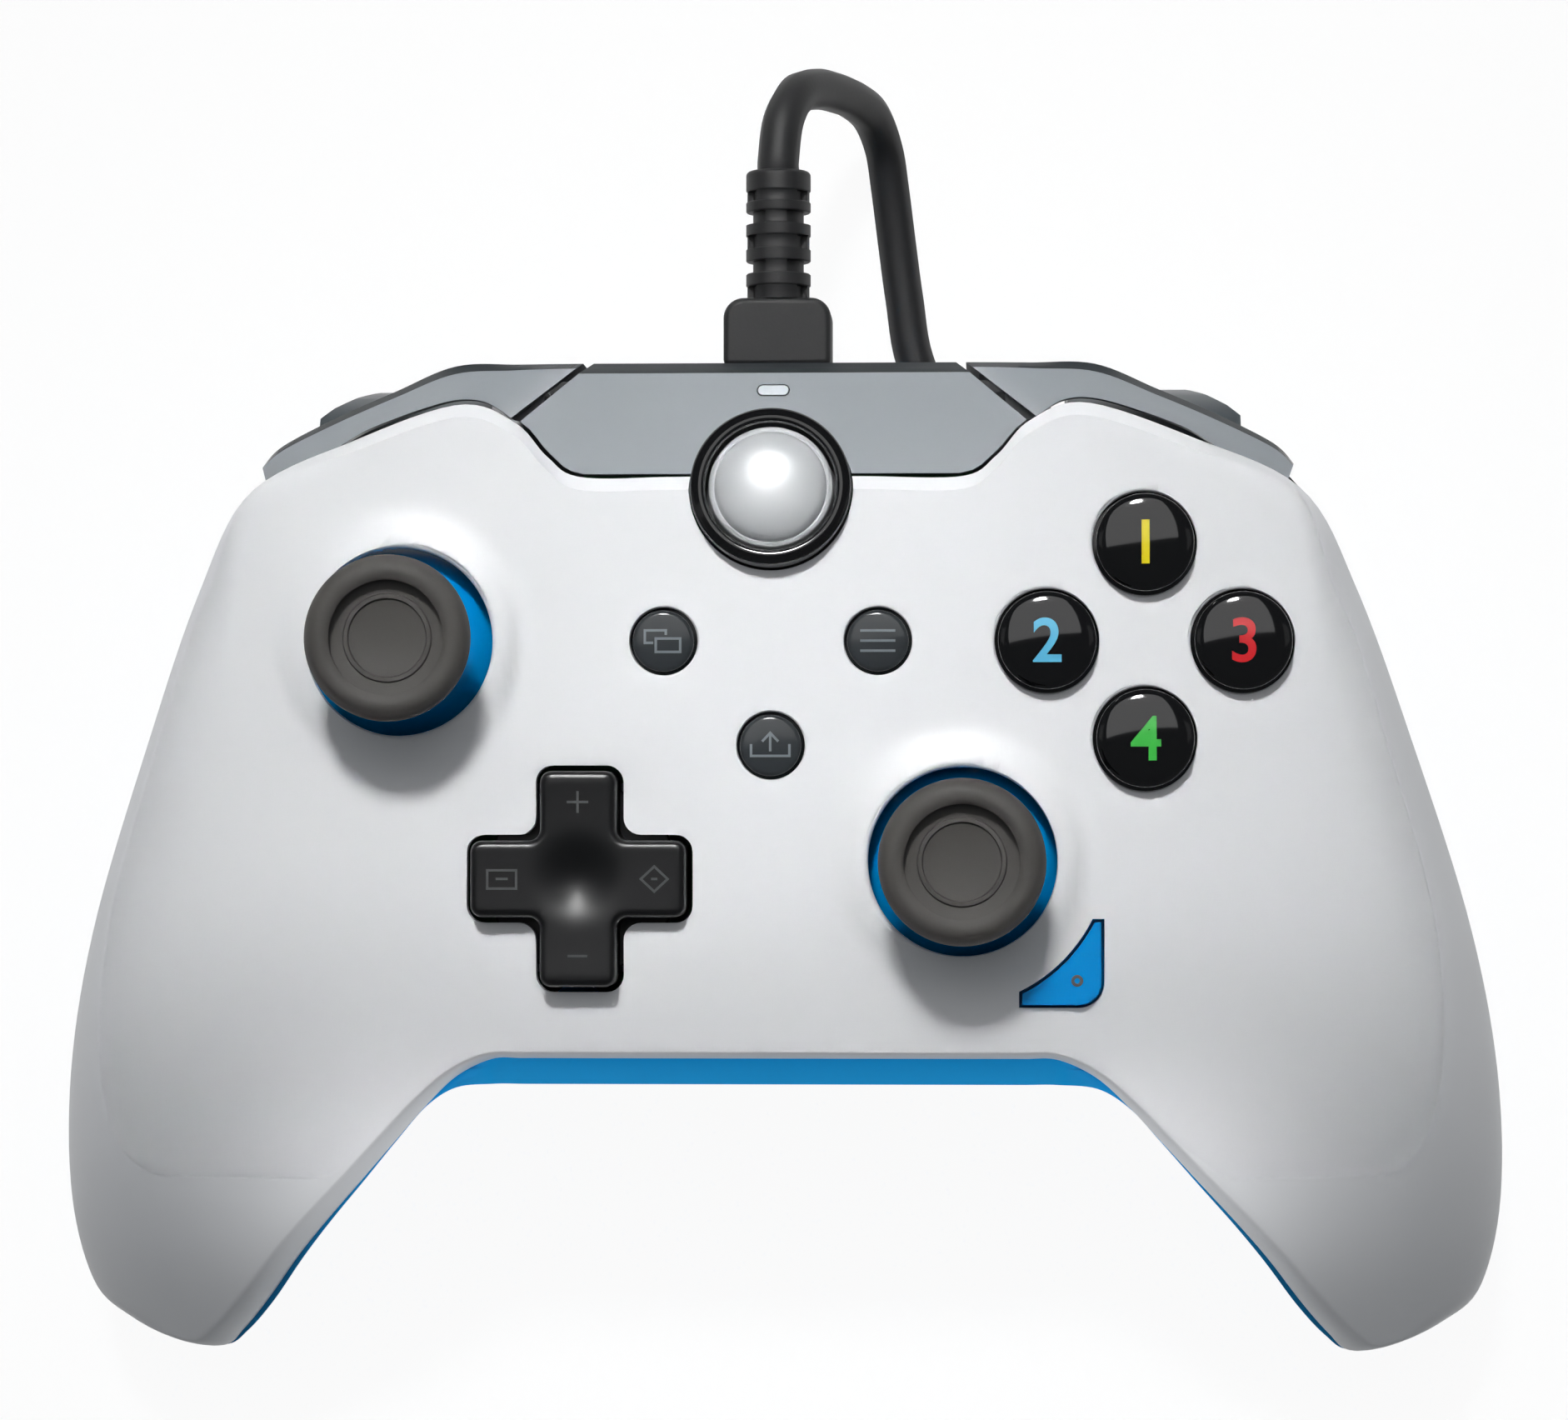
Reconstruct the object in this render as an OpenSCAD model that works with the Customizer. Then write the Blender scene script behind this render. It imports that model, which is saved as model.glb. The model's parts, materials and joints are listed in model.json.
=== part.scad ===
// Wired gamepad: two moulded shells, thumbsticks, cross pad, buttons, bumpers,
// triggers, rumble motors and a coiled lead. Lies face up, +Y away from the player.

/* [Body] */
// Width over both grips
body_w = 157; // [153:1:161]
// Depth from the grip tips to the top edge
body_d = 107; // [104:1:110]
// Height of the face above the table
face_h = 46; // [45:0.5:48]
// Height of the belly above the table
belly_h = 21; // [20.5:0.5:22]
// Wall of the two shells
wall = 2.2; // [1.8:0.1:2.4]
// Drop of the face from the middle to the sides
face_crown = 3.5; // [2.5:0.5:4.5]
// Drop of the face from the middle to the grip tips
grip_droop = 26; // [24:1:28]

/* [Controls] */
// Distance of the upper left stick and the four buttons from the middle
cluster_x = 39; // [38:0.5:40]
// Place of the upper controls along the depth
cluster_y = 23.5; // [22.5:0.5:24.5]
// Distance of the cross pad and the right stick from the middle
lower_x = 20; // [19:0.5:21]
// Place of the cross pad and the right stick along the depth
lower_y = -0.5; // [-1:0.5:0.5]
// Gap round every button
button_gap = 0.35; // [0.3:0.05:0.45]
// Diameter of the four round buttons
face_button_d = 10.2; // [9.6:0.2:10.8]
// Distance of the four buttons from the middle of their group
face_button_pitch = 10.2; // [10:0.1:10.6]
// Height of the four buttons over the face
face_button_rise = 2.6; // [2:0.2:3.2]
// Travel of the four round buttons
face_button_travel = 1.5; // [1:0.1:1.8]
// Diameter of the three small buttons
small_button_d = 6.4; // [5.8:0.2:6.8]
// Distance of the two small side buttons from the middle
small_button_x = 11.2; // [10.6:0.2:12]
// Place of the lower small button along the depth
small_button_y = 12.6; // [12:0.2:13.4]
// Height of the small buttons over the face
small_button_rise = 0.9; // [0.6:0.1:1.3]
// Travel of the small buttons
small_button_travel = 0.6; // [0.4:0.1:0.8]
// Diameter of the dark ring round the middle button
guide_ring_d = 16.9; // [16.5:0.1:17.3]
// Diameter of the domed middle button
guide_d = 13; // [12.4:0.2:13.4]
// Place of the middle button along the depth
guide_y = 39.6; // [39:0.2:40.2]
// Backward lean of the middle button
guide_tilt = 10; // [6:1:12]
// Span of the cross pad
dpad_w = 22.5; // [21.5:0.5:23.5]
// Width of an arm of the cross pad
dpad_arm = 8; // [7.4:0.2:8.6]
// Height of the cross pad over the face
dpad_rise = 2.2; // [1.8:0.2:2.8]
// Gap round the cross pad
dpad_gap = 0.6; // [0.5:0.05:0.7]

/* [Sticks] */
// Diameter of the hole round a stick
stick_hole_d = 19.7; // [19.3:0.1:20.1]
// Diameter of a thumb cap
stick_cap_d = 17.2; // [16.6:0.2:17.8]
// Depth of a stick's pivot below the face
stick_pivot_drop = 12.5; // [12.2:0.1:12.8]
// Height of a thumb cap's rim over the face
stick_rise = 12; // [11.4:0.2:12.6]

/* [Bumpers and triggers] */
// Radius of a trigger's pin
trigger_pin_r = 1.2; // [1.1:0.05:1.3]
// Width of a trigger
trigger_w = 18.6; // [18:0.2:19]
// Wall of a trigger
trigger_wall = 2; // [1.8:0.1:2.2]
// Radius of a bumper's pivot post
bumper_pin_r = 1.3; // [1.1:0.1:1.4]

/* [Ports and lead] */
// Bore of the headset jack
jack_bore_d = 3.6; // [3.55:0.05:3.8]
// Diameter of the lead
cable_d = 4.5; // [4.4:0.05:4.6]

/* [Hidden] */
$fn = 48;
fit = 0.06;
seat = 0.05;
depth_k = body_d / 107;
width_k = body_w / 157;
half_w = body_w / 2;
top_y = 53.5 * depth_k;
notch_y = 40.8 * depth_k;
bend_y = -4;
bend_len = 50 * depth_k;
seam = 0.2;
lip_drop = 2;
front_blue = [0, 0.5, 0.85];
shell_white = [0.92, 0.93, 0.94];
gloss_black = [0.05, 0.05, 0.06];
trim_grey = [0.32, 0.35, 0.37];
rubber = [0.2, 0.19, 0.18];
steel = [0.7, 0.71, 0.73];

// Small helpers

function mix(a, b, t) = a + (b - a) * t;
function ease(t) = t <= 0 ? 0 : t >= 1 ? 1 : t * t * (3 - 2 * t);
function quarter(t) = t <= 0 ? 0 : t >= 1 ? 1 : sqrt(1 - (1 - t) * (1 - t));
function spline(p, u) =
  let (
    n = len(p),
    i = min(floor(u), n - 2),
    t = u - i,
    a = p[max(i - 1, 0)],
    b = p[i],
    c = p[i + 1],
    d = p[min(i + 2, n - 1)]
  )
  b + 0.5 * t * (c - a + t * (2 * a - 5 * b + 4 * c - d + t * (3 * (b - c) + d - a)));

// Surfaces of the body

function face_z(x, y) =
  face_h - face_crown * pow(x / half_w, 2) - grip_droop * pow(max(0, bend_y - y) / bend_len, 2);
function belly_z(x, y) =
  let (across = abs(x) / width_k, along = y / depth_k)
  belly_h * (1 - ease((across - 38) / 22) * ease((48 - along) / 38)) + 7 * ease((-36 - along) / 20);
function parting_z(y) = face_h - 20 + 0.25 * y;
function inner_parting_z(y) = face_h - 10 + 0.7 * (y + 20.4 * depth_k);

// Stations from the middle to the right grip tip: the outer edge in x and y, the inner edge
// in x and y, the two edge radii, and how far the outer edge has dropped to the parting line.
front_stations = [
  [0, 40.8, 0, -20.4, 2.2, 1, 0],
  [10, 40.8, 9, -20.4, 2.2, 1, 0],
  [20, 40.8, 18, -20.4, 2.2, 1, 0],
  [23.6, 43, 22.5, -20.4, 2.2, 1, 0],
  [27, 46.6, 26.5, -20.4, 2.2, 1, 0],
  [33, 48.5, 30, -20.5, 2.2, 1, 0],
  [44.5, 44.8, 34, -22.4, 2.6, 1.1, 0.3],
  [55.9, 39.8, 37.5, -25.6, 5, 1.3, 0.9],
  [61.9, 29.3, 41, -29.4, 12, 1.5, 1],
  [68, 13.2, 45, -33.8, 15, 1.6, 1],
  [74.3, -5.6, 49.4, -38.6, 16, 1.8, 1],
  [77.7, -21.5, 53, -42.8, 16, 2, 1],
  [78.5, -36, 56.8, -47.8, 15, 2.4, 1],
  [76.6, -46, 59.9, -51.4, 14, 3, 1],
  [72.8, -49.7, 62.4, -53.4, 12, 5, 1],
  [67.9, -51.9, 67.2, -52.2, 11, 9, 1]
];
rear_stations = [
  [0, 53.2, 0, -23.2, 5, 4, 0],
  [10, 53.2, 9, -23.2, 5, 4, 0],
  [19, 53.2, 18, -23.2, 5, 4, 0],
  [27, 53.2, 22.5, -23.2, 5, 4, 0],
  [34, 52.6, 26.5, -23.2, 5, 4, 0],
  [42, 49.6, 30, -23.2, 5, 4, 0],
  [50, 46, 34.2, -23.7, 5, 5, 0],
  [56, 39.9, 37.6, -25.8, 5, 7, 0.9],
  [61.9, 29.3, 41, -29.5, 10, 9, 1],
  [68, 13.2, 44.9, -34, 14, 11, 1],
  [74.3, -5.6, 49.2, -38.9, 16, 12, 1],
  [77.7, -21.5, 52.7, -43.2, 16, 12, 1],
  [78.5, -36, 56.4, -48.2, 15, 12, 1],
  [76.6, -46, 59.6, -51.7, 14, 11, 1],
  [72.8, -49.7, 62.3, -53.4, 12, 10, 1],
  [67.9, -51.9, 67.2, -52.2, 11, 9, 1]
];
// Height of the rear shell's rim, lifted to the front shell's edge along the blue strip
strip_w = 2.8;
function rear_rim_z(u) =
  inner_parting_z((spline(rear_stations, u)[3] + strip_w * (1 - ease((u - 5) / 1.3))) * depth_k) - seam;
rows = 28;
edge_cols = 6;
mid_cols = 7;
rear_top_z = face_h - 23;

// Places across a section: fine over both rounded edges, even between them
function cross_places(l, r1, r2) =
  let (
    k = min(1, 0.98 * l / (r1 + r2)),
    a = r1 * k,
    b = r2 * k
  )
  [
    for (i = [0:edge_cols]) a * (1 - cos(90 * i / edge_cols)),
    for (i = [1:mid_cols - 1]) mix(a, l - b, i / mid_cols),
    for (i = [edge_cols:-1:0]) l - b * (1 - cos(90 * i / edge_cols))
  ];

// One section of a shell skin. The inset moves it inward for the inner face.
function skin_row(stations, u, side, is_front, inset) =
  let (
    s = spline(stations, u),
    o = [s[0] * width_k, s[1] * depth_k],
    e = [s[2] * width_k, s[3] * depth_k],
    gap = norm(e - o),
    in = min(inset, 0.4 * gap),
    dir = (e - o) / gap,
    l = gap - 2 * in,
    r1 = max(0.6, s[4] - in),
    r2 = max(0.6, s[5] - in),
    k = min(1, 0.98 * l / (r1 + r2)),
    full = quarter(1.4 * l / (r1 + r2)),
    drop = min(1, max(0, s[6])),
    z1 = is_front
      ? mix(face_z(o.x, o.y) - lip_drop, parting_z(o.y), drop)
      : mix(rear_top_z, parting_z(o.y) - seam, drop),
    z2 = is_front ? inner_parting_z(e.y) : rear_rim_z(u)
  )
  [
    for (d = cross_places(l, r1, r2))
      let (
        p = o + dir * (in + d),
        crown = full * quarter(d / (r1 * k)) * quarter((l - d) / (r2 * k)),
        base = mix(z1, z2, d / l),
        goal = is_front ? face_z(p.x, p.y) - in : belly_z(p.x, p.y) + in
      )
      [side * p.x, p.y, mix(base, goal, crown)]
  ];

function skin_grid(stations, is_front, inset) =
  let (
    last = len(stations) - 1 - inset * 0.12
  )
  [
    for (i = [rows:-1:1]) skin_row(stations, last * i / rows, -1, is_front, inset),
    for (i = [0:rows]) skin_row(stations, last * i / rows, 1, is_front, inset)
  ];

// A closed wall between two grids of points, the first of which faces out
module skin_wall(outer, inner, flip) {
  n = len(outer) - 1;
  m = len(outer[0]) - 1;
  w = m + 1;
  shift = (n + 1) * w;
  points = [for (g = [outer, inner]) for (r = g) for (p = r) p];
  quads = [
    for (i = [0:n - 1]) for (j = [0:m - 1])
      let (a = i * w + j, quad = [a, a + w, a + w + 1, a + 1])
      each [quad, [for (k = [3:-1:0]) quad[k] + shift]],
    for (i = [0:n - 1])
      let (a = i * w, b = a + m)
      each [[a + w, a, a + shift, a + w + shift], [b, b + w, b + w + shift, b + shift]],
    for (j = [0:m - 1])
      let (a = j, b = n * w + j)
      each [[a, a + 1, a + 1 + shift, a + shift], [b + 1, b, b + shift, b + 1 + shift]]
  ];
  faces = [for (q = quads) each [[q[0], q[1], q[2]], [q[0], q[2], q[3]]]];
  polyhedron(points, flip ? [for (f = faces) [f[2], f[1], f[0]]] : faces);
}

// A tube along points, one ring at each
function tube_rings(path, r, sides) =
  let (n = len(path) - 1)
  [
    for (i = [0:n])
      let (
        t = path[min(i + 1, n)] - path[max(i - 1, 0)],
        f = t / norm(t),
        up = abs(f.z) > 0.9 ? [1, 0, 0] : [0, 0, 1],
        a = cross(f, up) / norm(cross(f, up)),
        b = cross(a, f)
      )
      [for (k = [0:sides - 1]) path[i] + r * (cos(360 * k / sides) * a + sin(360 * k / sides) * b)]
  ];
module loft(rings) {
  n = len(rings) - 1;
  m = len(rings[0]);
  points = [for (r = rings) for (p = r) p];
  faces = [
    [for (k = [0:m - 1]) k],
    [for (k = [m - 1:-1:0]) n * m + k],
    for (i = [0:n - 1]) for (k = [0:m - 1])
      let (
        a = i * m + k,
        b = i * m + (k + 1) % m
      )
      each [[a, a + m, b + m], [a, b + m, b]]
  ];
  polyhedron(points, faces);
}
module at_face(p, lift = 0) {
  translate([p.x, p.y, face_z(p.x, p.y) + lift]) children();
}
module right_and_left(side) {
  mirror([side < 0 ? 1 : 0, 0, 0]) children();
}
module bar(x0, x1, y0, y1, z0, z1) {
  translate([x0, y0, z0]) cube([x1 - x0, y1 - y0, z1 - z0]);
}

// Levels and places that several pieces share
board_t = 1.6;
board_top = belly_h + wall + 1.2 + board_t;
pad_t = 1;
pad_top = board_top + 5;
left_stick = [-cluster_x, cluster_y];
right_stick = [lower_x, lower_y + 1];
dpad_at = [-lower_x, lower_y - 0.8];
face_at = [cluster_x, cluster_y];
face_buttons = [for (d = [[0, 1], [-1, 0], [1, 0], [0, -1]]) face_at + d * face_button_pitch];
small_buttons = [
  [-small_button_x, cluster_y],
  [small_button_x, cluster_y],
  [0, small_button_y]
];
function_at = [lower_x + 14.4, lower_y - 13.9];
guide_at = [0, guide_y * depth_k];
trigger_x = 40.6 * width_k;
trigger_pivot = [41 * depth_k, face_h - 15];
trigger_ear_t = 1.4;
trigger_gap = 0.35;
trigger_half = trigger_w / 2;
bay_half = trigger_half + trigger_gap + trigger_ear_t + 0.4;
bumper_pin = [27 * width_k, 49.8 * depth_k];
motor_at = [half_w - 14.5, face_h - 29];
motor_r = 6;
motor_y = [-22 * depth_k, -22 * depth_k + 14];
jack_z = board_top + 2.8;
jack_nose_r = 2.8;
port_z = board_top + 1.6;
// Screw bosses: place, how far their tops lie below the face, and the height of the screw's seat
bosses = [
  [half_w - 20.5, 13 * depth_k, 0, 12],
  [half_w - 14.5, -38 * depth_k, 1.1, 7],
  [22, -15.8 * depth_k, 1.1, belly_h + 1.9]
];
function boss_foot(b) = b.y > -20 && b.x < 40 ? board_top + 0.6 : parting_z(b.y) + 0.3;

// Shells

module front_shell() {
  color(shell_white) difference() {
    union() {
      skin_wall(skin_grid(front_stations, true, 0), skin_grid(front_stations, true, wall), false);
      for (p = [left_stick, right_stick]) at_face(p) stick_collar();
      for (b = bosses) for (side = [-1, 1]) boss(b, side);
    }
    for (p = [left_stick, right_stick]) at_face(p, -4 * wall) cylinder(d = stick_hole_d, h = 8 * wall);
    for (p = face_buttons) at_face(p, -4 * wall) cylinder(d = face_button_d + 2 * button_gap, h = 8 * wall);
    for (p = small_buttons) at_face(p, -4 * wall) cylinder(d = small_button_d + 2 * button_gap, h = 8 * wall);
    at_face(dpad_at, -4 * wall) linear_extrude(8 * wall) cross_outline(dpad_gap);
    at_face(function_at, -4 * wall) linear_extrude(8 * wall) function_outline(button_gap);
    guide_frame() translate([0, 0, -9]) cylinder(d = guide_ring_d + 0.3, h = 18);
    for (b = bosses) for (side = [-1, 1])
      translate([side * b.x, b.y, boss_foot(b) - 1]) cylinder(r = screw_r + fit, h = screw_bite + 1.4);
  }
}
// A ledge that closes the step between the front shell's lower edge and the rear shell's rim
ledge_t = 1.6;
ledge_sink = 0.15;
ledge_end = 6;
function ledge_ring(u, side) =
  let (
    front = spline(front_stations, u),
    rear = spline(rear_stations, u),
    top = rear_rim_z(u) - ledge_sink,
    low = [side * rear[2] * width_k, rear[3] * depth_k + 0.6],
    high = [side * front[2] * width_k, front[3] * depth_k + wall]
  )
  [[low.x, low.y, top - ledge_t], [high.x, high.y, top - ledge_t], [high.x, high.y, top], [low.x, low.y, top]];
module rear_ledge() {
  loft([
    for (u = [ledge_end:-0.5:0.5]) ledge_ring(u, -1),
    for (u = [0:0.5:ledge_end]) ledge_ring(u, 1)
  ]);
}
module stick_collar() {
  r = stick_hole_d / 2;
  rotate_extrude() polygon([[r - 1, -wall], [r + 2.5, -wall], [r + 2.5, 0], [r + 1.6, 0.5], [r - 1, 0.5]]);
}
module boss(b, side) {
  top = face_z(b.x, b.y) - wall / 2 - b[2];
  translate([side * b.x, b.y, boss_foot(b)]) cylinder(r = 2.4, h = top - boss_foot(b));
}
screw_r = 1.2;
screw_bite = 6;
screw_head_r = 2.3;
screw_head_h = 1.6;
module rear_shell() {
  color(front_blue) difference() {
    union() {
      skin_wall(skin_grid(rear_stations, false, 0), skin_grid(rear_stations, false, wall), true);
      rear_ledge();
      for (b = bosses) for (side = [-1, 1]) screw_column(b, side);
      for (side = [-1, 1]) right_and_left(side) {
        translate([bumper_pin.x, bumper_pin.y, belly_h + 1]) cylinder(r = bumper_pin_r, h = bumper_pin_h);
        for (y = motor_y) motor_cradle(y - sign(y - mix(motor_y[0], motor_y[1], 0.5)) * 3);
        for (p = board_posts) board_post(p);
      }
    }
    for (b = bosses) for (side = [-1, 1]) translate([side * b.x, b.y, 0]) {
      translate([0, 0, -2]) cylinder(r = screw_head_r + 0.3, h = b[3] + 2);
      cylinder(r = screw_r + 0.2, h = boss_foot(b) + 2);
    }
    for (side = [-1, 1]) right_and_left(side) trigger_bay();
    translate([0, -15, jack_z]) rotate([90, 0, 0]) cylinder(r = jack_nose_r + 0.2, h = 12);
  }
}
bumper_pin_h = face_h - belly_h - 11.5;
board_posts = [[14, -9], [24, 33], [46, 4]];
module board_post(p) {
  foot = belly_z(p.x, p.y) + wall / 2;
  translate([p.x, p.y, foot]) cylinder(r = 2, h = board_top - board_t - foot);
}
module screw_column(b, side) {
  foot = belly_z(b.x, b.y) + wall / 2 + (b.x > 50 && b.y > 0 ? 2 : 0.3);
  translate([side * b.x, b.y, foot]) cylinder(r = 3, h = boss_foot(b) - seat - foot);
}
module motor_cradle(y) {
  difference() {
    bar(motor_at.x - 3.6, motor_at.x + 3.6, y - 0.8, y + 0.8, 2.6, motor_at.y);
    translate([motor_at.x, y - 2, motor_at.y]) rotate([-90, 0, 0]) cylinder(r = motor_r + seat, h = 4);
  }
}
module trigger_bay() {
  bar(trigger_x - bay_half, trigger_x + bay_half, trigger_pivot.x - 1.2, top_y + 5, -5, parting_z(40) + 4);
}

// Top panel, middle button and status light

panel_slope = 25;
panel_gap = 0.35;
panel_wall = 1.8;
function panel_side() = [
  for (u = [2:0.25:4])
    let (s = spline(front_stations, u)) [s[0] * width_k - 0.25, s[1] * depth_k + panel_gap]
];
panel_corner = [19.3, top_y];
module panel_outline() {
  half = concat(panel_side(), [panel_corner]);
  polygon(concat(half, [for (i = [len(half) - 1:-1:0]) [-half[i].x, half[i].y]]));
}
// The solid under the panel's sloping top, lowered by a drop
module panel_block(drop) {
  difference() {
    translate([0, 0, rear_top_z + 0.3]) linear_extrude(face_h) panel_outline();
    panel_above(drop);
  }
}
module panel_above(drop) {
  translate([0, notch_y, face_h - lip_drop + 0.2 - drop]) rotate([-panel_slope, 0, 0])
    translate([-50, -30, 0]) cube([100, 80, 60]);
}
module top_panel() {
  color(trim_grey) difference() {
    panel_block(0);
    difference() {
      bar(-50, 50, 0, top_y - panel_wall, 0, face_h);
      panel_above(2);
    }
    translate([0, top_y, panel_edge_z()]) rotate([-panel_slope - 35, 0, 0])
      translate([-50, -5, -0.8]) cube([100, 10, 10]);
    guide_frame() translate([0, 0, -12]) cylinder(d = guide_ring_d + 0.3, h = 24);
    status_slot(0.12);
    bar(-4.4, 4.4, top_y - 4, top_y + 4, port_z - 1.9, port_z + 1.9);
  }
}
function panel_edge_z() = face_h - lip_drop + 0.2 - (top_y - notch_y) * tan(panel_slope);
status_at = [0, top_y - 3.2];
module status_slot(grow) {
  foot = port_z + 1.9;
  for (x = [-1.1, 1.1]) translate([x, status_at.y, foot]) cylinder(d = 1.06 + 2 * grow, h = 20);
  translate([-1.1, status_at.y - 0.53 - grow, foot]) cube([2.2, 1.06 + 2 * grow, 20]);
}
module status_lens() {
  color([0.8, 0.85, 0.9]) difference() {
    status_slot(0);
    panel_above(-0.25);
  }
}
module guide_frame() {
  at_face(guide_at) rotate([-guide_tilt, 0, 0]) children();
}
module guide_ring() {
  r = guide_ring_d / 2;
  inner = guide_d / 2 + button_gap;
  color(gloss_black) guide_frame() rotate_extrude() polygon([
    [inner, -7], [r, -7], [r, 0.2], [r - 0.5, 0.8], [mix(inner, r, 0.55), 1], [inner + 0.5, 0.5], [inner, 0]
  ]);
}
module guide_button() {
  r = guide_d / 2;
  stem = guide_stem();
  color([0.75, 0.77, 0.79]) guide_frame() rotate_extrude() polygon(concat(
    [[0, -stem], [2, -stem], [2, -8.4], [r + 0.9, -8.4], [r + 0.9, -7.4], [r, -7.4]],
    [for (a = [0:10:90]) [r * cos(a), 0.1 + 1.9 * sin(a)]]
  ));
}
function guide_stem() =
  (face_z(guide_at.x, guide_at.y) - board_top - switch_h - small_button_travel - 0.25) / cos(guide_tilt);

// Board and what is soldered to it

switch_h = 3.4;
module main_board() {
  side = 53 * width_k;
  back = trigger_pivot.x - 4.4;
  top = top_y - 3.5;
  notch = bosses[2].y + 3.2;
  half = [
    [0, -17], [9.5, -17], [9.5, notch], [25.8, notch], [25.8, notch - 2], [36, notch - 2], [side, 2],
    [side, 28], [side - 7, back], [27, back], [27 - top + back, top], [0, top]
  ];
  color([0.05, 0.3, 0.16]) translate([0, 0, board_top - board_t]) linear_extrude(board_t)
    polygon(concat(half, [for (i = [len(half) - 2:-1:1]) [-half[i].x, half[i].y]]));
}
module pad_sheet(at, half, dots, r) {
  color([0.6, 0.62, 0.64]) {
    translate([at.x - half.x, at.y - half.y, board_top]) cube([2 * half.x, 2 * half.y, pad_t]);
    for (p = dots) translate([p.x, p.y, board_top]) cylinder(r1 = r + 0.7, r2 = r, h = pad_top - board_top);
  }
}
module face_button_pad() {
  pad_sheet(face_at, [13.4, 12.9], face_buttons, 2.2);
}
dpad_reach = 7.2;
module dpad_pad() {
  dots = [for (d = [[0, 1], [-1, 0], [1, 0], [0, -1]]) dpad_at + d * dpad_reach];
  difference() {
    pad_sheet(dpad_at, [10.2, 10.2], dots, 2);
    translate([dpad_at.x, dpad_at.y, 0]) cylinder(r = 2.6, h = 60);
  }
}
module centre_button_pad() {
  mid = mix(cluster_y, small_button_y, 0.5);
  pad_sheet([0, mid], [small_button_x + 3, (cluster_y - small_button_y) / 2 + 3], small_buttons, 1.8);
}
function_mid = function_at + [-2.6, 2.6];
module tact_switches() {
  under_guide = guide_at - [0, tan(guide_tilt) * guide_stem()];
  color([0.15, 0.15, 0.16]) for (p = [under_guide, function_mid]) {
    translate([p.x - 2.6, p.y - 2.6, board_top]) cube([5.2, 5.2, switch_h - 1]);
    translate([p.x, p.y, board_top]) cylinder(r = 1.4, h = switch_h);
  }
}
module usb_socket() {
  color(steel) difference() {
    bar(-4.1, 4.1, top_y - 9, top_y - panel_wall - 0.3, board_top, port_z + 1.6);
    bar(-3.6, 3.6, top_y - 7, top_y + 4, port_z - 1.1, port_z + 1.1);
  }
}
jack_out_y = -23 * depth_k;
jack_len = 14;
module headset_jack() {
  color(gloss_black) difference() {
    union() {
      bar(-3.4, 3.4, -15.6, jack_out_y + jack_len + 1, board_top, jack_z + 2.6);
      bar(-3.4, 3.4, jack_out_y + 3.4, -15, board_top + 0.05, jack_z + 2.6);
      translate([0, jack_out_y, jack_z]) rotate([-90, 0, 0]) cylinder(r = jack_nose_r, h = 4);
    }
    translate([0, jack_out_y - 1, jack_z]) rotate([-90, 0, 0]) cylinder(d = jack_bore_d, h = jack_len + 1);
  }
}

// Thumbsticks: a base with a gimbal ring, a hub in the ring and a shaft that slides in the hub

ring_r = 5.5;
hub_r = 3.6;
shaft_r = 1.6;
trunnion_r = 0.8;
gimbal_h = 2.4;
stick_base_half = 8;
stick_click = 0.6;
function pivot_z(p) = face_z(p.x, p.y) - stick_pivot_drop;
module at_pivot(p) {
  translate([p.x, p.y, pivot_z(p)]) children();
}
module stick_base(p) {
  color([0.2, 0.22, 0.24]) difference() {
    translate([p.x - stick_base_half, p.y - stick_base_half, board_top])
      cube([2 * stick_base_half, 2 * stick_base_half, pivot_z(p) + 2 - board_top]);
    translate([p.x, p.y, min(board_top + 1.2, pivot_z(p) - gimbal_h / 2 - 0.5)])
      cylinder(r = ring_r + 0.7, h = 20);
    at_pivot(p) rotate([0, 90, 0]) cylinder(r = trunnion_r + fit, h = 30, center = true);
  }
}
module stick_ring(p) {
  color(steel) at_pivot(p) difference() {
    union() {
      cylinder(r = ring_r, h = gimbal_h, center = true);
      rotate([0, 90, 0]) cylinder(r = trunnion_r, h = 2 * stick_base_half - 1, center = true);
    }
    cylinder(r = hub_r + 0.5, h = 10, center = true);
    rotate([90, 0, 0]) cylinder(r = trunnion_r + fit, h = 30, center = true);
  }
}
module stick_hub(p) {
  color(rubber) at_pivot(p) difference() {
    union() {
      cylinder(r = hub_r, h = gimbal_h, center = true);
      rotate([90, 0, 0]) cylinder(r = trunnion_r, h = 2 * ring_r - 0.6, center = true);
    }
    cylinder(r = shaft_r + fit, h = 10, center = true);
  }
}
dome_wall = 0.9;
function dome_r() = norm([stick_hole_d / 2, stick_pivot_drop - wall]) - 0.6;
cap_neck_r = 2.7;
module stick_shaft(p) {
  top = stick_pivot_drop + stick_rise - 3.2;
  color(gloss_black) at_pivot(p) translate([0, 0, -2.4]) cylinder(r = shaft_r, h = top + 2.4);
}
module stick_dome(p) {
  r = dome_r();
  color(front_blue) at_pivot(p) rotate_extrude() polygon(concat(
    [for (a = [62:-4:10]) [r * sin(a), r * cos(a)]],
    [[cap_neck_r, r], [cap_neck_r, r + 0.6], [shaft_r + seat, r + 0.6], [shaft_r + seat, r - dome_wall]],
    [for (a = [10:4:62]) [(r - dome_wall) * sin(a), (r - dome_wall) * cos(a)]]
  ));
}
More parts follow.
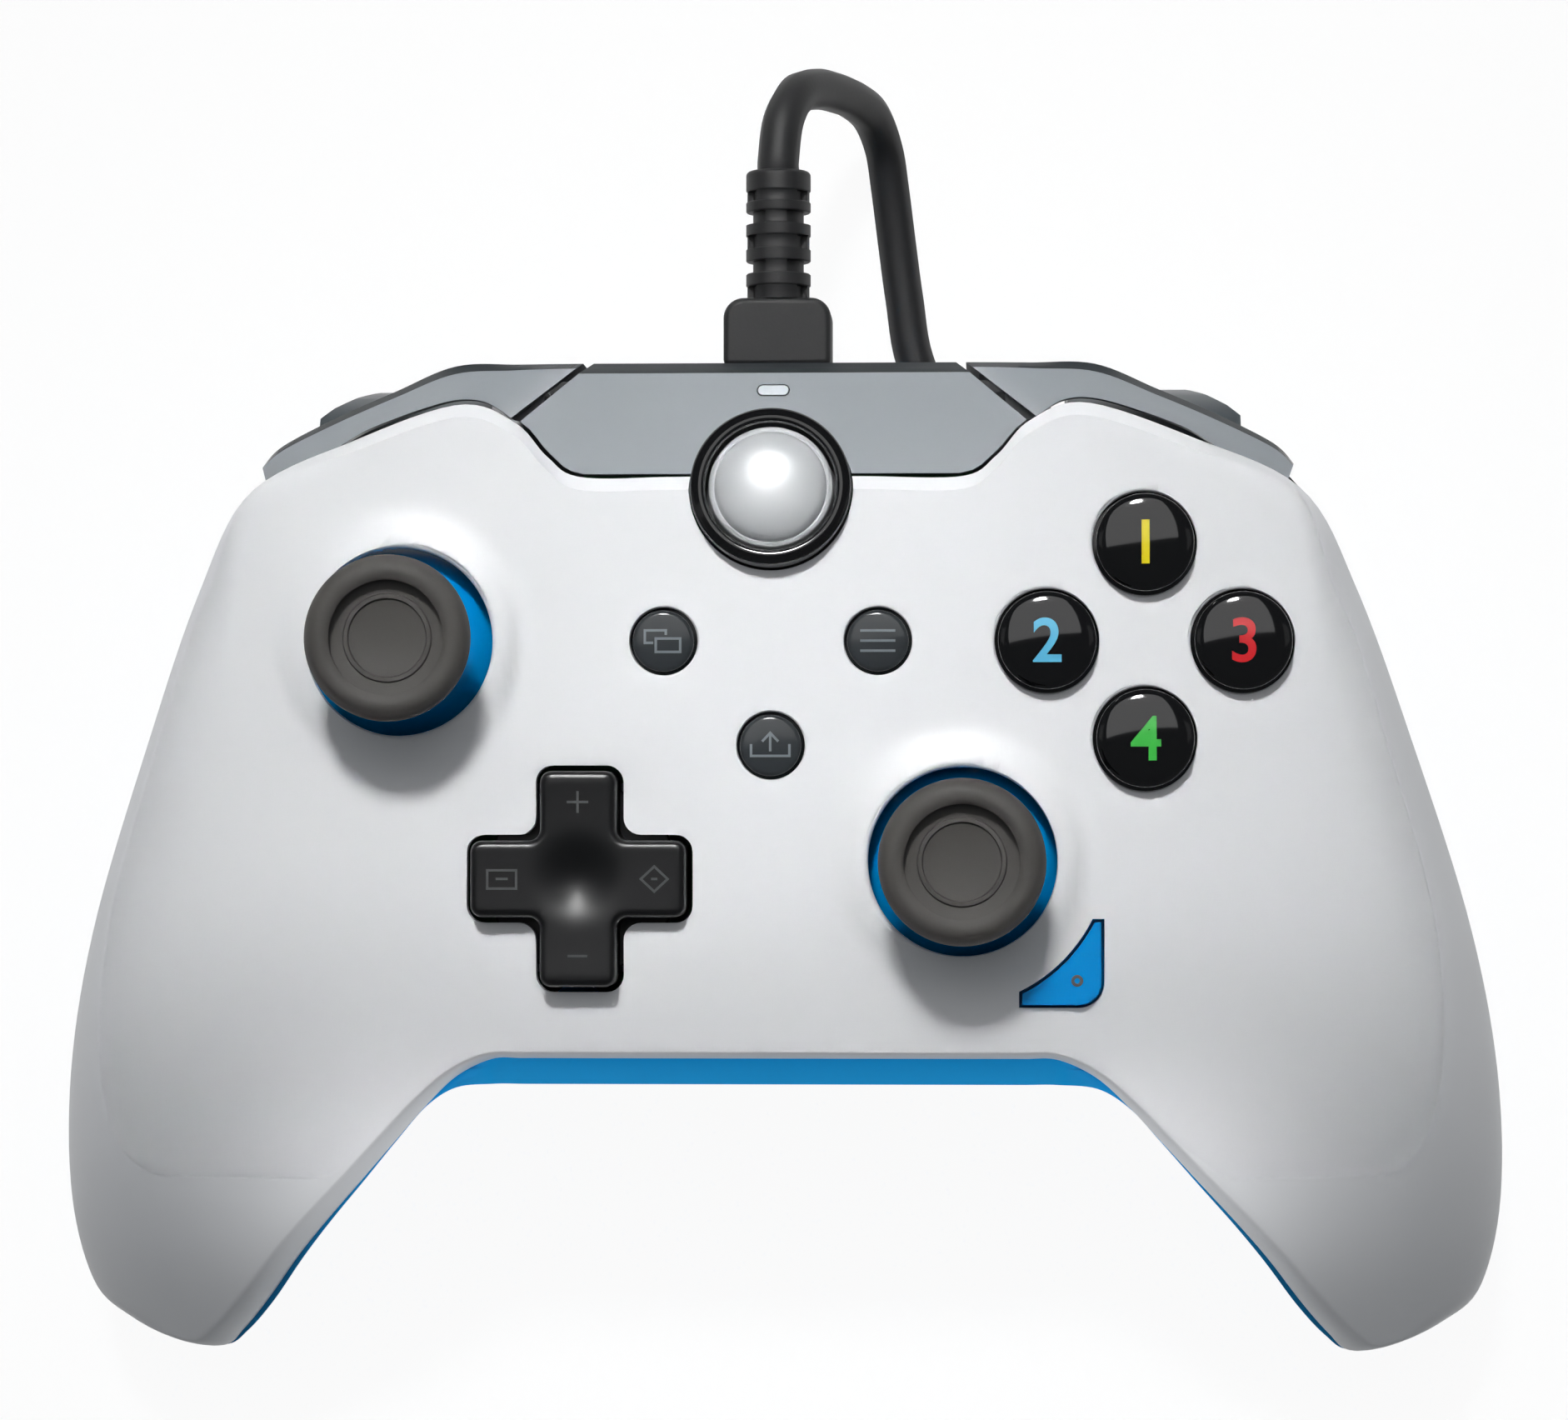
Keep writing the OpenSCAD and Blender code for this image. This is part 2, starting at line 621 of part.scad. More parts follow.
module stick_cap(p) {
  r = stick_cap_d / 2;
  t = stick_pivot_drop + stick_rise;
  rim = 1.5;
  groove_r = 0.64 * r;
  color(rubber) at_pivot(p) rotate_extrude() polygon(concat(
    [[shaft_r + seat, dome_r() + 0.7], [cap_neck_r, dome_r() + 0.7], [cap_neck_r + 0.5, t - 4.6]],
    [[r - 1.2, t - 4], [r - 0.3, t - 3.2]],
    [for (a = [-20:20:140]) [r - rim + rim * cos(a), t - rim + rim * sin(a)]],
    [[groove_r + 0.6, t - 1.7], [groove_r + 0.1, t - 1.5]],
    [[groove_r - 0.3, t - 1.5], [groove_r - 0.7, t - 2]],
    [[0, t - 2], [0, t - 3.1], [shaft_r + seat, t - 3.1]]
  ));
}

// Cross pad on a ball and post

dpad_pivot_drop = 5.4;
dpad_ball_r = 1.8;
dpad_disc_r = 10.2;
dpad_corner = 1.2;
module at_dpad() {
  at_face(dpad_at, -dpad_pivot_drop) children();
}
module cross_outline(grow) {
  offset(r = dpad_corner + grow, $fn = 24) offset(delta = -dpad_corner)
    for (a = [0, 90]) rotate(a) square([dpad_w, dpad_arm], center = true);
}
module dpad_post() {
  foot = face_z(dpad_at.x, dpad_at.y) - dpad_pivot_drop - board_top;
  color(trim_grey) at_dpad() difference() {
    translate([0, 0, -foot]) cylinder(r = 1.5, h = foot - 0.6);
    sphere(r = dpad_ball_r + fit);
  }
}
module dpad_ball() {
  color(steel) at_dpad() sphere(r = dpad_ball_r);
}
module dpad() {
  top = dpad_pivot_drop + dpad_rise;
  nub = face_z(dpad_at.x, dpad_at.y) - dpad_pivot_drop - pad_top - 0.7;
  color(gloss_black) at_dpad() difference() {
    union() {
      translate([0, 0, 0.1]) cylinder(r = dpad_disc_r, h = 1.2);
      linear_extrude(top - 0.8) cross_outline(-0.02);
      for (a = [0:90:270]) rotate(a) arm_top(top);
      for (a = [0:90:270]) rotate(a) translate([dpad_reach, 0, -nub]) cylinder(r = 1.3, h = nub + 0.5);
    }
    sphere(r = dpad_ball_r + fit);
    translate([0, 0, -2]) cylinder(r = 2.4, h = 2.1);
    translate([0, 0, top + 20]) sphere(r = 20.9);
  }
}
// An arm's bevelled top, sloping up a little toward its end
module arm_top(top) {
  rotate([90, 0, 0]) linear_extrude(dpad_arm - 2 * dpad_corner, center = true)
    polygon([[0, top - 1], [dpad_w / 2 - 0.02, top - 1], [dpad_w / 2 - 0.9, top], [0, top - 0.3]]);
}

// Buttons

module domed_button(p, d, rise, stem_r, colour) {
  r = d / 2;
  f = face_z(p.x, p.y);
  foot = pad_top + seat - f;
  flange = -wall - 1;
  color(colour) at_face(p) rotate_extrude() polygon(concat(
    [[0, foot], [stem_r, foot], [stem_r, flange - 1.6], [r + 0.8, flange - 1.6]],
    [[r + 0.8, flange], [r, flange], [r, rise - 1.2], [r - 0.1, rise - 0.8]],
    [for (a = [30:12:90]) [(r - 0.1) * cos(a), rise - 0.8 + 0.8 * sin(a)]]
  ));
}
module face_button(i) {
  domed_button(face_buttons[i], face_button_d, face_button_rise, 2.5, gloss_black);
}
module small_button(i) {
  domed_button(small_buttons[i], small_button_d, small_button_rise, 1.7, trim_grey);
}
// Three-cornered outline with a hollow long side, its square corner at the bottom right
module function_outline(grow) {
  offset(delta = grow) difference() {
    union() {
      translate([-8.2, 0]) square([5.9, 8.6]);
      translate([-8.2, 2.3]) square([8.2, 6.3]);
      translate([-2.35, 2.35]) circle(r = 2.35, $fn = 32);
    }
    translate([-15.9, 16.4]) circle(r = 17.1, $fn = 96);
  }
}
module function_button() {
  f = face_z(function_at.x, function_at.y);
  m = function_mid - function_at;
  foot = board_top + switch_h + small_button_travel + 0.25 - f;
  color(front_blue) at_face(function_at) {
    translate([0, 0, -wall - 2.2]) linear_extrude(wall + 2.2 + small_button_rise) function_outline(0);
    translate([0, 0, -wall - 2.4]) linear_extrude(1.2) function_outline(0.7);
    translate([m.x, m.y, foot]) cylinder(r = 1.6, h = -wall - 2 - foot);
  }
}

// Bumpers and triggers, drawn on the right side

// Sections of a bumper: front edge, back edge, and how far its top lies below the face at each
bumper_sections = [
  [27.75, 47.4, 20.35, 53.4, 5.4, 7.6],
  [30.6, 49.1, 27, 53.4, 5.5, 8.2],
  [34.2, 49.3, 34, 53.3, 6.2, 8.8],
  [40.2, 47.6, 40.6, 50.7, 7.4, 9.6],
  [46.2, 45.3, 47, 48, 8.6, 10.4],
  [52.4, 42.8, 53, 45, 10, 11.2],
  [54.8, 41.8, 55.2, 42.8, 10.8, 11.5]
];
bumper_t = 1.8;
bumper_foot = face_h - 16.4;
function bumper_ring(s) =
  let (
    f = [s[0] * width_k, s[1] * depth_k],
    b = [s[2] * width_k, s[3] * depth_k],
    dir = (b - f) / norm(b - f),
    t = min(bumper_t, 0.45 * norm(b - f)),
    c = b - dir * t * 0.5,
    in = b - dir * t,
    foot = bumper_foot + 1.8 * ease((s[0] - 47) / 5),
    zf = face_h - s[4],
    zb = face_h - s[5]
  )
  [
    [f.x, f.y, zf - bumper_t], [in.x, in.y, zb - bumper_t], [in.x, in.y, foot],
    [b.x, b.y, foot], [b.x, b.y, zb - 0.7], [c.x, c.y, zb], [f.x, f.y, zf]
  ];
module bumper(side) {
  hub_r = bumper_pin_r + fit + 1.2;
  foot = belly_h + wall + 0.4;
  color(trim_grey) right_and_left(side) difference() {
    union() {
      loft([for (u = [0:0.5:6]) bumper_ring(spline(bumper_sections, u))]);
      translate([bumper_pin.x, bumper_pin.y, foot]) cylinder(r = hub_r, h = face_h - 7.8 - foot);
    }
    translate([bumper_pin.x, bumper_pin.y, foot - 1])
      cylinder(r = bumper_pin_r + fit, h = belly_h + bumper_pin_h + 1.6 - foot + 1);
  }
}
module bumper_switches() {
  color([0.15, 0.15, 0.16]) for (side = [-1, 1]) right_and_left(side) {
    p = [trigger_x + 4.9, trigger_pivot.x - 0.6, bridge_z + bridge_t];
    bar(p.x - 3, p.x + 3, p.y - 1.8, p.y + 1.8, p.z, p.z + 2.8);
    translate([p.x, p.y + 1.6, p.z + 1.4]) rotate([-90, 0, 0]) cylinder(r = 0.9, h = 1);
  }
}
bridge_z = face_h - 11.1;
bridge_t = 1.2;
// Outer curve of a trigger, from its pivot
trigger_curve = [
  [3.8, -2], [5.8, -2.6], [8.8, -5], [10.8, -9.6], [11.1, -15], [10.1, -19.8], [10.4, -23.2], [11.9, -25.8]
];
function trigger_outer() = [for (u = [0:0.25:7]) trigger_pivot + spline(trigger_curve, u)];
function trigger_inner() =
  let (p = trigger_outer(), n = len(p) - 1)
  [
    for (i = [n:-1:0])
      let (t = p[min(i + 1, n)] - p[max(i - 1, 0)])
      p[i] + trigger_wall * [t.y, -t.x] / norm(t)
  ];
module side_profile(x0, w) {
  translate([x0, 0, 0]) rotate([90, 0, 90]) linear_extrude(w) children();
}
module trigger(side) {
  hub = trigger_pin_r + fit + 1.3;
  x0 = trigger_x - trigger_half;
  cheek = 1.5;
  p = trigger_pivot;
  color(trim_grey) right_and_left(side) difference() {
    union() {
      side_profile(x0, trigger_w) polygon(concat(trigger_outer(), trigger_inner()));
      for (x = [x0, x0 + trigger_w - cheek]) side_profile(x, cheek)
        polygon([p + [0, hub], for (i = [0:16]) trigger_outer()[i], p + [5.4, -13], p + [-hub, 0]]);
      side_profile(x0, trigger_w) translate(p) circle(r = hub);
    }
    side_profile(x0 - 5, trigger_w + 10) translate(p) circle(r = trigger_pin_r + fit);
    trigger_corner();
  }
}
// What the slanting outer corner leaves out, seen from above
module trigger_corner() {
  x = trigger_x + trigger_half;
  y = trigger_pivot.x;
  linear_extrude(face_h) polygon([
    [x - 9.4, y + 14], [x - 9.4, y + 12.3], [x - 6.6, y + 11.4], [x - 3.6, y + 10.2], [x - 1.4, y + 8.8],
    [x + 0.4, y + 7.2], [x + 2, y + 7.2], [x + 2, y + 14]
  ]);
}
module trigger_pin(side) {
  reach = trigger_half + trigger_gap + trigger_ear_t;
  color(steel) right_and_left(side) side_profile(trigger_x - reach, 2 * reach)
    translate(trigger_pivot) circle(r = trigger_pin_r);
}
module trigger_bracket(side) {
  zb = belly_h + wall + seat;
  p = trigger_pivot;
  reach = trigger_half + trigger_gap;
  top = bridge_z + bridge_t;
  back = p.x - 4;
  ear = [
    [back, zb], [back + 2.4, zb], p + [2.2, -2.8], p + [2.2, 2], p + [1, 3.6], [p.x + 1, top], [back, top]
  ];
  color([0.25, 0.26, 0.28]) right_and_left(side) difference() {
    union() {
      for (x = [trigger_x - reach - trigger_ear_t, trigger_x + reach])
        side_profile(x, trigger_ear_t) polygon(ear);
      bar(trigger_x - reach - 1, trigger_x + reach + 1, back, p.x + 1, bridge_z, top);
      bar(trigger_x - reach - 1, trigger_x + reach + 1, back, back + 2.4, zb, zb + bridge_t);
    }
    side_profile(trigger_x - 40, 80) translate(p) circle(r = trigger_pin_r + 0.02);
  }
}
spring_turns = 4;
module trigger_spring(side) {
  r = trigger_pin_r + fit + 1.3 + 0.6;
  pitch = 1.3;
  x0 = trigger_x - spring_turns * pitch / 2;
  path = [
    [x0, trigger_pivot.x - 3.4, trigger_pivot.y + r],
    for (i = [0:spring_turns * 12]) let (a = 90 - 30 * i)
      [x0 + pitch * i / 12, trigger_pivot.x + r * cos(a), trigger_pivot.y + r * sin(a)],
    [x0 + pitch * spring_turns, trigger_pivot.x + 2.4, trigger_pivot.y + r]
  ];
  color(steel) right_and_left(side) loft(tube_rings(path, 0.35, 6));
}

// Rumble motors

weight_y = [motor_y[0] - 8.5, motor_y[0] - 1.4];
module motor(side) {
  color(steel) right_and_left(side) translate([motor_at.x, 0, motor_at.y]) rotate([90, 0, 0]) {
    translate([0, 0, -motor_y[1]]) cylinder(r = motor_r, h = motor_y[1] - motor_y[0]);
    translate([0, 0, -motor_y[0]]) cylinder(r = 1, h = motor_y[0] - weight_y[0]);
  }
}
module motor_weight(side, r) {
  color([0.55, 0.5, 0.42]) right_and_left(side) translate([motor_at.x, 0, motor_at.y]) rotate([90, 0, 0])
    translate([0, 0, -weight_y[1]]) difference() {
      union() {
        cylinder(r = 2.4, h = weight_y[1] - weight_y[0]);
        intersection() {
          cylinder(r = r, h = weight_y[1] - weight_y[0]);
          translate([-r, -r, 0]) cube([2 * r, r, 20]);
        }
      }
      translate([0, 0, -1]) cylinder(r = 1 + fit, h = 20);
    }
}
module case_screws() {
  color(steel) for (b = bosses) for (side = [-1, 1]) translate([side * b.x, b.y, b[3]]) {
    translate([0, 0, seat - screw_head_h]) cylinder(r = screw_head_r, h = screw_head_h - 2 * seat);
    translate([0, 0, -0.5]) cylinder(r = screw_r, h = boss_foot(b) + screw_bite - b[3]);
  }
}

// Lead: plug, strain relief, free run, coil under the belly, tail and far plug

plug_out = 7.4;
plug_w = 11.6;
plug_h = 7.2;
relief_len = 14;
relief_r = 3.5;
lead_start = top_y + 0.25 + plug_out + relief_len;
lie_z = cable_d / 2 + 0.1;
far_h = 7.5;
far_w = 14;
far_z = far_h / 2 + 0.1;
module usb_plug() {
  y0 = top_y + 0.25;
  color(gloss_black) union() {
    bar(-plug_w / 2, plug_w / 2, y0, y0 + plug_out - 2.2, port_z - plug_h / 2, port_z + plug_h / 2);
    bar(2.2 - plug_w / 2, plug_w / 2 - 2.2, y0, y0 + plug_out, port_z - plug_h / 2, port_z + plug_h / 2);
    for (x = [2.2 - plug_w / 2, plug_w / 2 - 2.2])
      translate([x, y0 + plug_out - 2.2, port_z - plug_h / 2]) cylinder(r = 2.2, h = plug_h);
    bar(-3.4, 3.4, top_y - 6, y0 + 1, port_z - 0.9, port_z + 0.9);
  }
}
module strain_relief() {
  ribs = 6;
  step = relief_len / ribs;
  core = cable_d / 2 + 0.5;
  profile = [
    [0, 0],
    for (i = [0:ribs - 1])
      let (r = relief_r - 0.1 * i)
      each [[r, i * step], [r, (i + 0.7) * step], [core, (i + 0.7) * step], [core, (i + 1) * step]],
    [0, relief_len]
  ];
  color(rubber) translate([0, lead_start - relief_len, port_z]) rotate([-90, 0, 0])
    rotate_extrude() polygon(profile);
}
// Hand-chosen points of the free run: out of the relief, over and down, then back under the body
lead_points = [
  [0, lead_start, port_z], [0, lead_start + 1.4, port_z], [0.5, 80.9, 26.5], [1.9, 84.2, 23.6],
  [3.9, 85.4, 19.5], [5.7, 85.6, 15.7], [7.5, 85.4, 11.9], [9.5, 84.2, 7.8], [10.9, 80.9, 4.8],
  [11.6, 76.4, 3.4], [12.4, 70, 2.6], [13.2, 64, lie_z], [14.4, 57, lie_z], [18, 49.4, lie_z],
  [24, 42, lie_z], [30.6, 34.6, lie_z], [35, 27.4, lie_z], [37, 20, lie_z], [37, 15.5, lie_z]
];
// Hand-chosen points of the tail, from the coil's end down to the far plug
tail_points = [
  [4, -18.7, 17.2], [-0.5, -18.7, 17.2], [-8, -18.6, 15.6], [-16, -18.2, 11.4], [-23.6, -17.2, 7.2],
  [-30.4, -14.6, 4.6], [-35.6, -10.4, 3.9], [-38.6, -5.6, far_z], [-39.2, -1, far_z], [-39.2, 1, far_z]
];
coil_at = [4, 15.5];
coil_out = 33;
coil_turns = 3.5;
coil_step = 4.95;
coil_layers = 4;
coil_end_turn = 0.25;
coil_rings = 24;
coil_total = coil_turns * coil_layers + coil_end_turn;
// Radius and height after t turns: the coil winds in, out, in and out again
function coil_radius(t) =
  let (
    i = min(coil_layers - 1, floor(t / coil_turns)),
    f = t / coil_turns - i
  )
  coil_out - coil_step * coil_turns * (i % 2 == 0 ? f : 1 - f);
function coil_height(t, layer = 1) =
  layer == coil_layers
    ? lie_z
    : coil_step * ease((t - layer * coil_turns) / 0.5 + 0.5) + coil_height(t, layer + 1);
function coil_point(t) =
  let (a = -360 * t, r = coil_radius(t))
  [coil_at.x + r * cos(a), coil_at.y + r * sin(a), coil_height(t)];
coil_path = [for (i = [0:coil_rings * coil_total]) coil_point(i / coil_rings)];
function path_length(p, i = 1, sum = 0) =
  i == len(p) ? sum : path_length(p, i + 1, sum + norm(p[i] - p[i - 1]));
function smooth_path(p, parts) = [for (i = [0:(len(p) - 1) * parts]) spline(p, i / parts)];
module cable() {
  color(rubber) loft(tube_rings(smooth_path(lead_points, 2), cable_d / 2, 10));
}
module cable_coil() {
  gaps = [
    for (i = [0:2:len(coil_path) - 1]) for (j = [i + coil_rings / 2:len(coil_path) - 1])
      norm(coil_path[i] - coil_path[j]) - cable_d
  ];
  echo(coil_gap = min(gaps), coil_length = path_length(coil_path));
  echo(lead_length = path_length(smooth_path(lead_points, 4)));
  echo(tail_length = path_length(smooth_path(tail_points, 4)));
  color(rubber) loft(tube_rings(coil_path, cable_d / 2, 6));
}
module cable_tail() {
  color(rubber) loft(tube_rings(smooth_path(tail_points, 2), cable_d / 2, 10));
}
module far_plug() {
  y0 = tail_points[9].y + 0.05;
  x = tail_points[9].x;
  color(gloss_black) bar(x - far_w / 2, x + far_w / 2, y0, y0 + 15, 0.1, far_h + 0.1);
  color(steel) bar(x - 6, x + 6, y0 + 14, y0 + 30, far_z - 2.25, far_z + 2.25);
}

front_shell();
rear_shell();
top_panel();
guide_ring();
status_lens();
main_board();
face_button_pad();
dpad_pad();
centre_button_pad();
tact_switches();
stick_base(left_stick);  // left_stick_base
stick_base(right_stick);  // right_stick_base
usb_socket();
headset_jack();
motor(-1);  // left_motor
motor(1);  // right_motor
motor_weight(-1, 8);  // left_motor_weight
motor_weight(1, 6.5);  // right_motor_weight
trigger_bracket(-1);  // left_trigger_bracket
trigger_bracket(1);  // right_trigger_bracket
trigger_pin(-1);  // left_trigger_pin
trigger_pin(1);  // right_trigger_pin
trigger_spring(-1);  // left_trigger_spring
trigger_spring(1);  // right_trigger_spring
trigger(-1);  // left_trigger
trigger(1);  // right_trigger
bumper(-1);  // left_bumper
bumper(1);  // right_bumper
bumper_switches();
case_screws();
stick_ring(left_stick);  // left_stick_ring
stick_hub(left_stick);  // left_stick_hub
stick_shaft(left_stick);  // left_stick_shaft
stick_dome(left_stick);  // left_stick_dome
stick_cap(left_stick);  // left_stick_cap
stick_ring(right_stick);  // right_stick_ring
stick_hub(right_stick);  // right_stick_hub
stick_shaft(right_stick);  // right_stick_shaft
stick_dome(right_stick);  // right_stick_dome
stick_cap(right_stick);  // right_stick_cap
dpad_post();
dpad_ball();
dpad();
face_button(0);  // top_button
face_button(1);  // left_button
face_button(2);  // right_button
face_button(3);  // bottom_button
small_button(0);  // view_button
small_button(1);  // menu_button
small_button(2);  // share_button
guide_button();
function_button();
usb_plug();
strain_relief();
cable();
cable_coil();
cable_tail();
far_plug();
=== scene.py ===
import json
import math

import bmesh
import bpy
from mathutils import Matrix, Vector

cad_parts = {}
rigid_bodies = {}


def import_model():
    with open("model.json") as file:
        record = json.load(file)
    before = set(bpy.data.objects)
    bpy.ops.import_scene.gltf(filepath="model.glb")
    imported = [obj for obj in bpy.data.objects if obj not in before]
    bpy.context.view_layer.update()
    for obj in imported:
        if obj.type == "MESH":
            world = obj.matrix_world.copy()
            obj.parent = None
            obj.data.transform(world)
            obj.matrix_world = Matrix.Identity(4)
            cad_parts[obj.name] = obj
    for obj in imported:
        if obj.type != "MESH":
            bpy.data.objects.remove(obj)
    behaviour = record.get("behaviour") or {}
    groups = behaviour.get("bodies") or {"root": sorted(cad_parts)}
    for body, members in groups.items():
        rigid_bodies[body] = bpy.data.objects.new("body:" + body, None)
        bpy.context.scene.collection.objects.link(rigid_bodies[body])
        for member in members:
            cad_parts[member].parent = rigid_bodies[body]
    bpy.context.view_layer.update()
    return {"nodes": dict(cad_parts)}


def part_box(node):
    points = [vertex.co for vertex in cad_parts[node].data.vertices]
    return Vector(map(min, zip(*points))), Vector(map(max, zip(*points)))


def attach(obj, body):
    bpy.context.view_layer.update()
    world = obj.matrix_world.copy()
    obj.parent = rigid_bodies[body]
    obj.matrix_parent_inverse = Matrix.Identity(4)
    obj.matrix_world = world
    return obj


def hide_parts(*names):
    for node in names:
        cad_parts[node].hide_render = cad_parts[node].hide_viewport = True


for thing in list(bpy.data.objects):
    bpy.data.objects.remove(thing)
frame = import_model()
scene = bpy.context.scene
scene.view_settings.view_transform = "Standard"
mm = 0.001  # lengths below are in millimetres, apart from the lamps and the floor
print("frame loaded")


# small sums
def mix(a, b, t):
    return a + (b - a) * t


def clamp(t):
    return min(1, max(0, t))


def ease(t):
    t = clamp(t)
    return t * t * (3 - 2 * t)


def quarter(t):
    t = clamp(t)
    return math.sqrt(1 - (1 - t) ** 2)


def spline(rows, u):  # a smooth run through rows of numbers, where u counts rows
    last = len(rows) - 1
    i = min(int(u), last - 1)
    t = u - i
    a, b, c, d = rows[max(i - 1, 0)], rows[i], rows[i + 1], rows[min(i + 2, last)]
    return [
        q + 0.5 * t * (r - p + t * (2 * p - 5 * q + 4 * r - s + t * (3 * (q - r) + s - p)))
        for p, q, r, s in zip(a, b, c, d)
    ]


def arc(cx, cz, r, start, end, count=8):
    turns = [math.radians(mix(start, end, i / count)) for i in range(count + 1)]
    return [(cx + r * math.cos(a), cz + r * math.sin(a)) for a in turns]


def crownArc(r, low, high, start, count):  # a dome's profile, from start degrees up to its top
    return [(r * x, mix(low, high, z)) for x, z in arc(0, 0, 1, start, 90, count)]


def lin(r, g, b):  # a colour as it looks on screen, made linear
    return tuple(((v + 0.055) / 1.055) ** 2.4 if v > 0.04 else v / 12.92 for v in (r, g, b)) + (1,)


# camera and lamps
cameraSet = {"place": (23, 3, 545), "aim": (1.4, 16.3, 46), "lens": 110, "sensor": 36, "clip": 20}


def addCamera():
    data = bpy.data.cameras.new("camera")
    data.lens = cameraSet["lens"]
    data.sensor_width = cameraSet["sensor"]
    data.clip_start = cameraSet["clip"] * mm
    camera = bpy.data.objects.new("camera", data)
    scene.collection.objects.link(camera)
    place = Vector(cameraSet["place"]) * mm
    back = (place - Vector(cameraSet["aim"]) * mm).normalized()
    right = Vector((0, 1, 0)).cross(back).normalized()
    up = back.cross(right)
    camera.matrix_world = Matrix.Translation(place) @ Matrix((right, up, back)).transposed().to_4x4()
    scene.camera = camera


lampAim = (0, 0.03, 0.04)
lampSet = {
    "softBox": {"place": (-0.05, 0.4, 0.86), "watts": 1.9, "size": (0.8, 0.7), "spread": 180},
    "leftBox": {"place": (-0.8, 0.15, 0.6), "watts": 0.12, "size": (0.3, 0.7), "spread": 180},
    "stripBox": {
        "place": (0, -0.5, 0.45), "watts": 0.004, "size": (0.1, 0.01), "spread": 4, "aim": (0, -0.036, 0.036),
    },
    "rightBox": {"place": (0.8, 0.15, 0.6), "watts": 0.12, "size": (0.3, 0.7), "spread": 180},
    "poolBox": {"place": (-0.06, 0.58, 0.8), "watts": 0.078, "size": (0.17, 0.15), "spread": 13},
}


def addLamps():
    for name, lamp in lampSet.items():
        data = bpy.data.lights.new(name, "AREA")
        data.energy = lamp["watts"]
        data.shape = "RECTANGLE"
        data.size, data.size_y = lamp["size"]
        data.spread = math.radians(lamp["spread"])  # a narrow one makes a round pool that fades to its rim
        light = bpy.data.objects.new(name, data)
        scene.collection.objects.link(light)
        light.location = lamp["place"]
        beam = Vector(lamp.get("aim", lampAim)) - light.location
        light.rotation_euler = beam.to_track_quat("-Z", "Y").to_euler()


# finishes
class Wire:
    def __init__(self, finish, socket):
        self.finish, self.socket = finish, socket

    def join(self, operation, first, second):
        return self.finish.node("ShaderNodeMath", {"operation": operation}, {0: first, 1: second})

    def __add__(self, other):
        return self.join("ADD", self, other)

    def __sub__(self, other):
        return self.join("SUBTRACT", self, other)

    def __rsub__(self, other):
        return self.join("SUBTRACT", other, self)

    def __mul__(self, other):
        return self.join("MULTIPLY", self, other)

    def __gt__(self, other):
        return self.join("GREATER_THAN", self, other)

    def __lt__(self, other):
        return self.join("LESS_THAN", self, other)

    __radd__ = __add__
    __rmul__ = __mul__


class Finish:
    def __init__(self, name):
        self.material = bpy.data.materials.new(name)
        self.material.use_nodes = True
        self.tree = self.material.node_tree
        self.shader = self.tree.nodes["Principled BSDF"]

    def plug(self, socket, value):
        if isinstance(value, Wire):
            self.tree.links.new(value.socket, socket)
        else:
            socket.default_value = value

    def node(self, kind, settings, sockets, output=0):
        new = self.tree.nodes.new(kind)
        for key, value in settings.items():
            setattr(new, key, value)
        for key, value in sockets.items():
            self.plug(new.inputs[key], value)
        return Wire(self, new.outputs[output])

    def noise(self, size):
        place = self.node("ShaderNodeTexCoord", {}, {}, "Object")
        return self.node("ShaderNodeTexNoise", {}, {"Vector": place, "Scale": 1 / (size * mm), "Detail": 2})

    def blend(self, factor, low, high):
        return self.node("ShaderNodeMix", {"data_type": "RGBA"}, {0: factor, 6: low, 7: high}, 2)

    def bump(self, height, strength, deep):
        sockets = {"Height": height, "Strength": strength, "Distance": deep * mm}
        return self.node("ShaderNodeBump", {}, sockets)

    def set(self, values):
        for key, value in values.items():
            self.plug(self.shader.inputs[key], value)
        return self


mouldSet = {"cloud": 14, "patchy": 0.25, "coatRough": 0.04, "bump": 0.5}


def moulded(name, color, rough, grain, deep, tint=0.03, coat=0.0, metal=0.0, shine=0.5):
    finish = Finish(name)
    cloud = finish.noise(mouldSet["cloud"])
    base = lin(*color)
    low = tuple(v * (1 - tint) for v in base[:3]) + (1,)
    high = tuple(min(1, v * (1 + tint)) for v in base[:3]) + (1,)
    return finish.set({
        "Base Color": finish.blend(cloud, low, high),
        "Roughness": rough + (cloud - 0.5) * (mouldSet["patchy"] * rough),
        "Metallic": metal,
        "Coat Weight": coat,
        "Coat Roughness": mouldSet["coatRough"],
        "Specular IOR Level": shine,
        "Normal": finish.bump(finish.noise(grain), mouldSet["bump"], deep),
    })


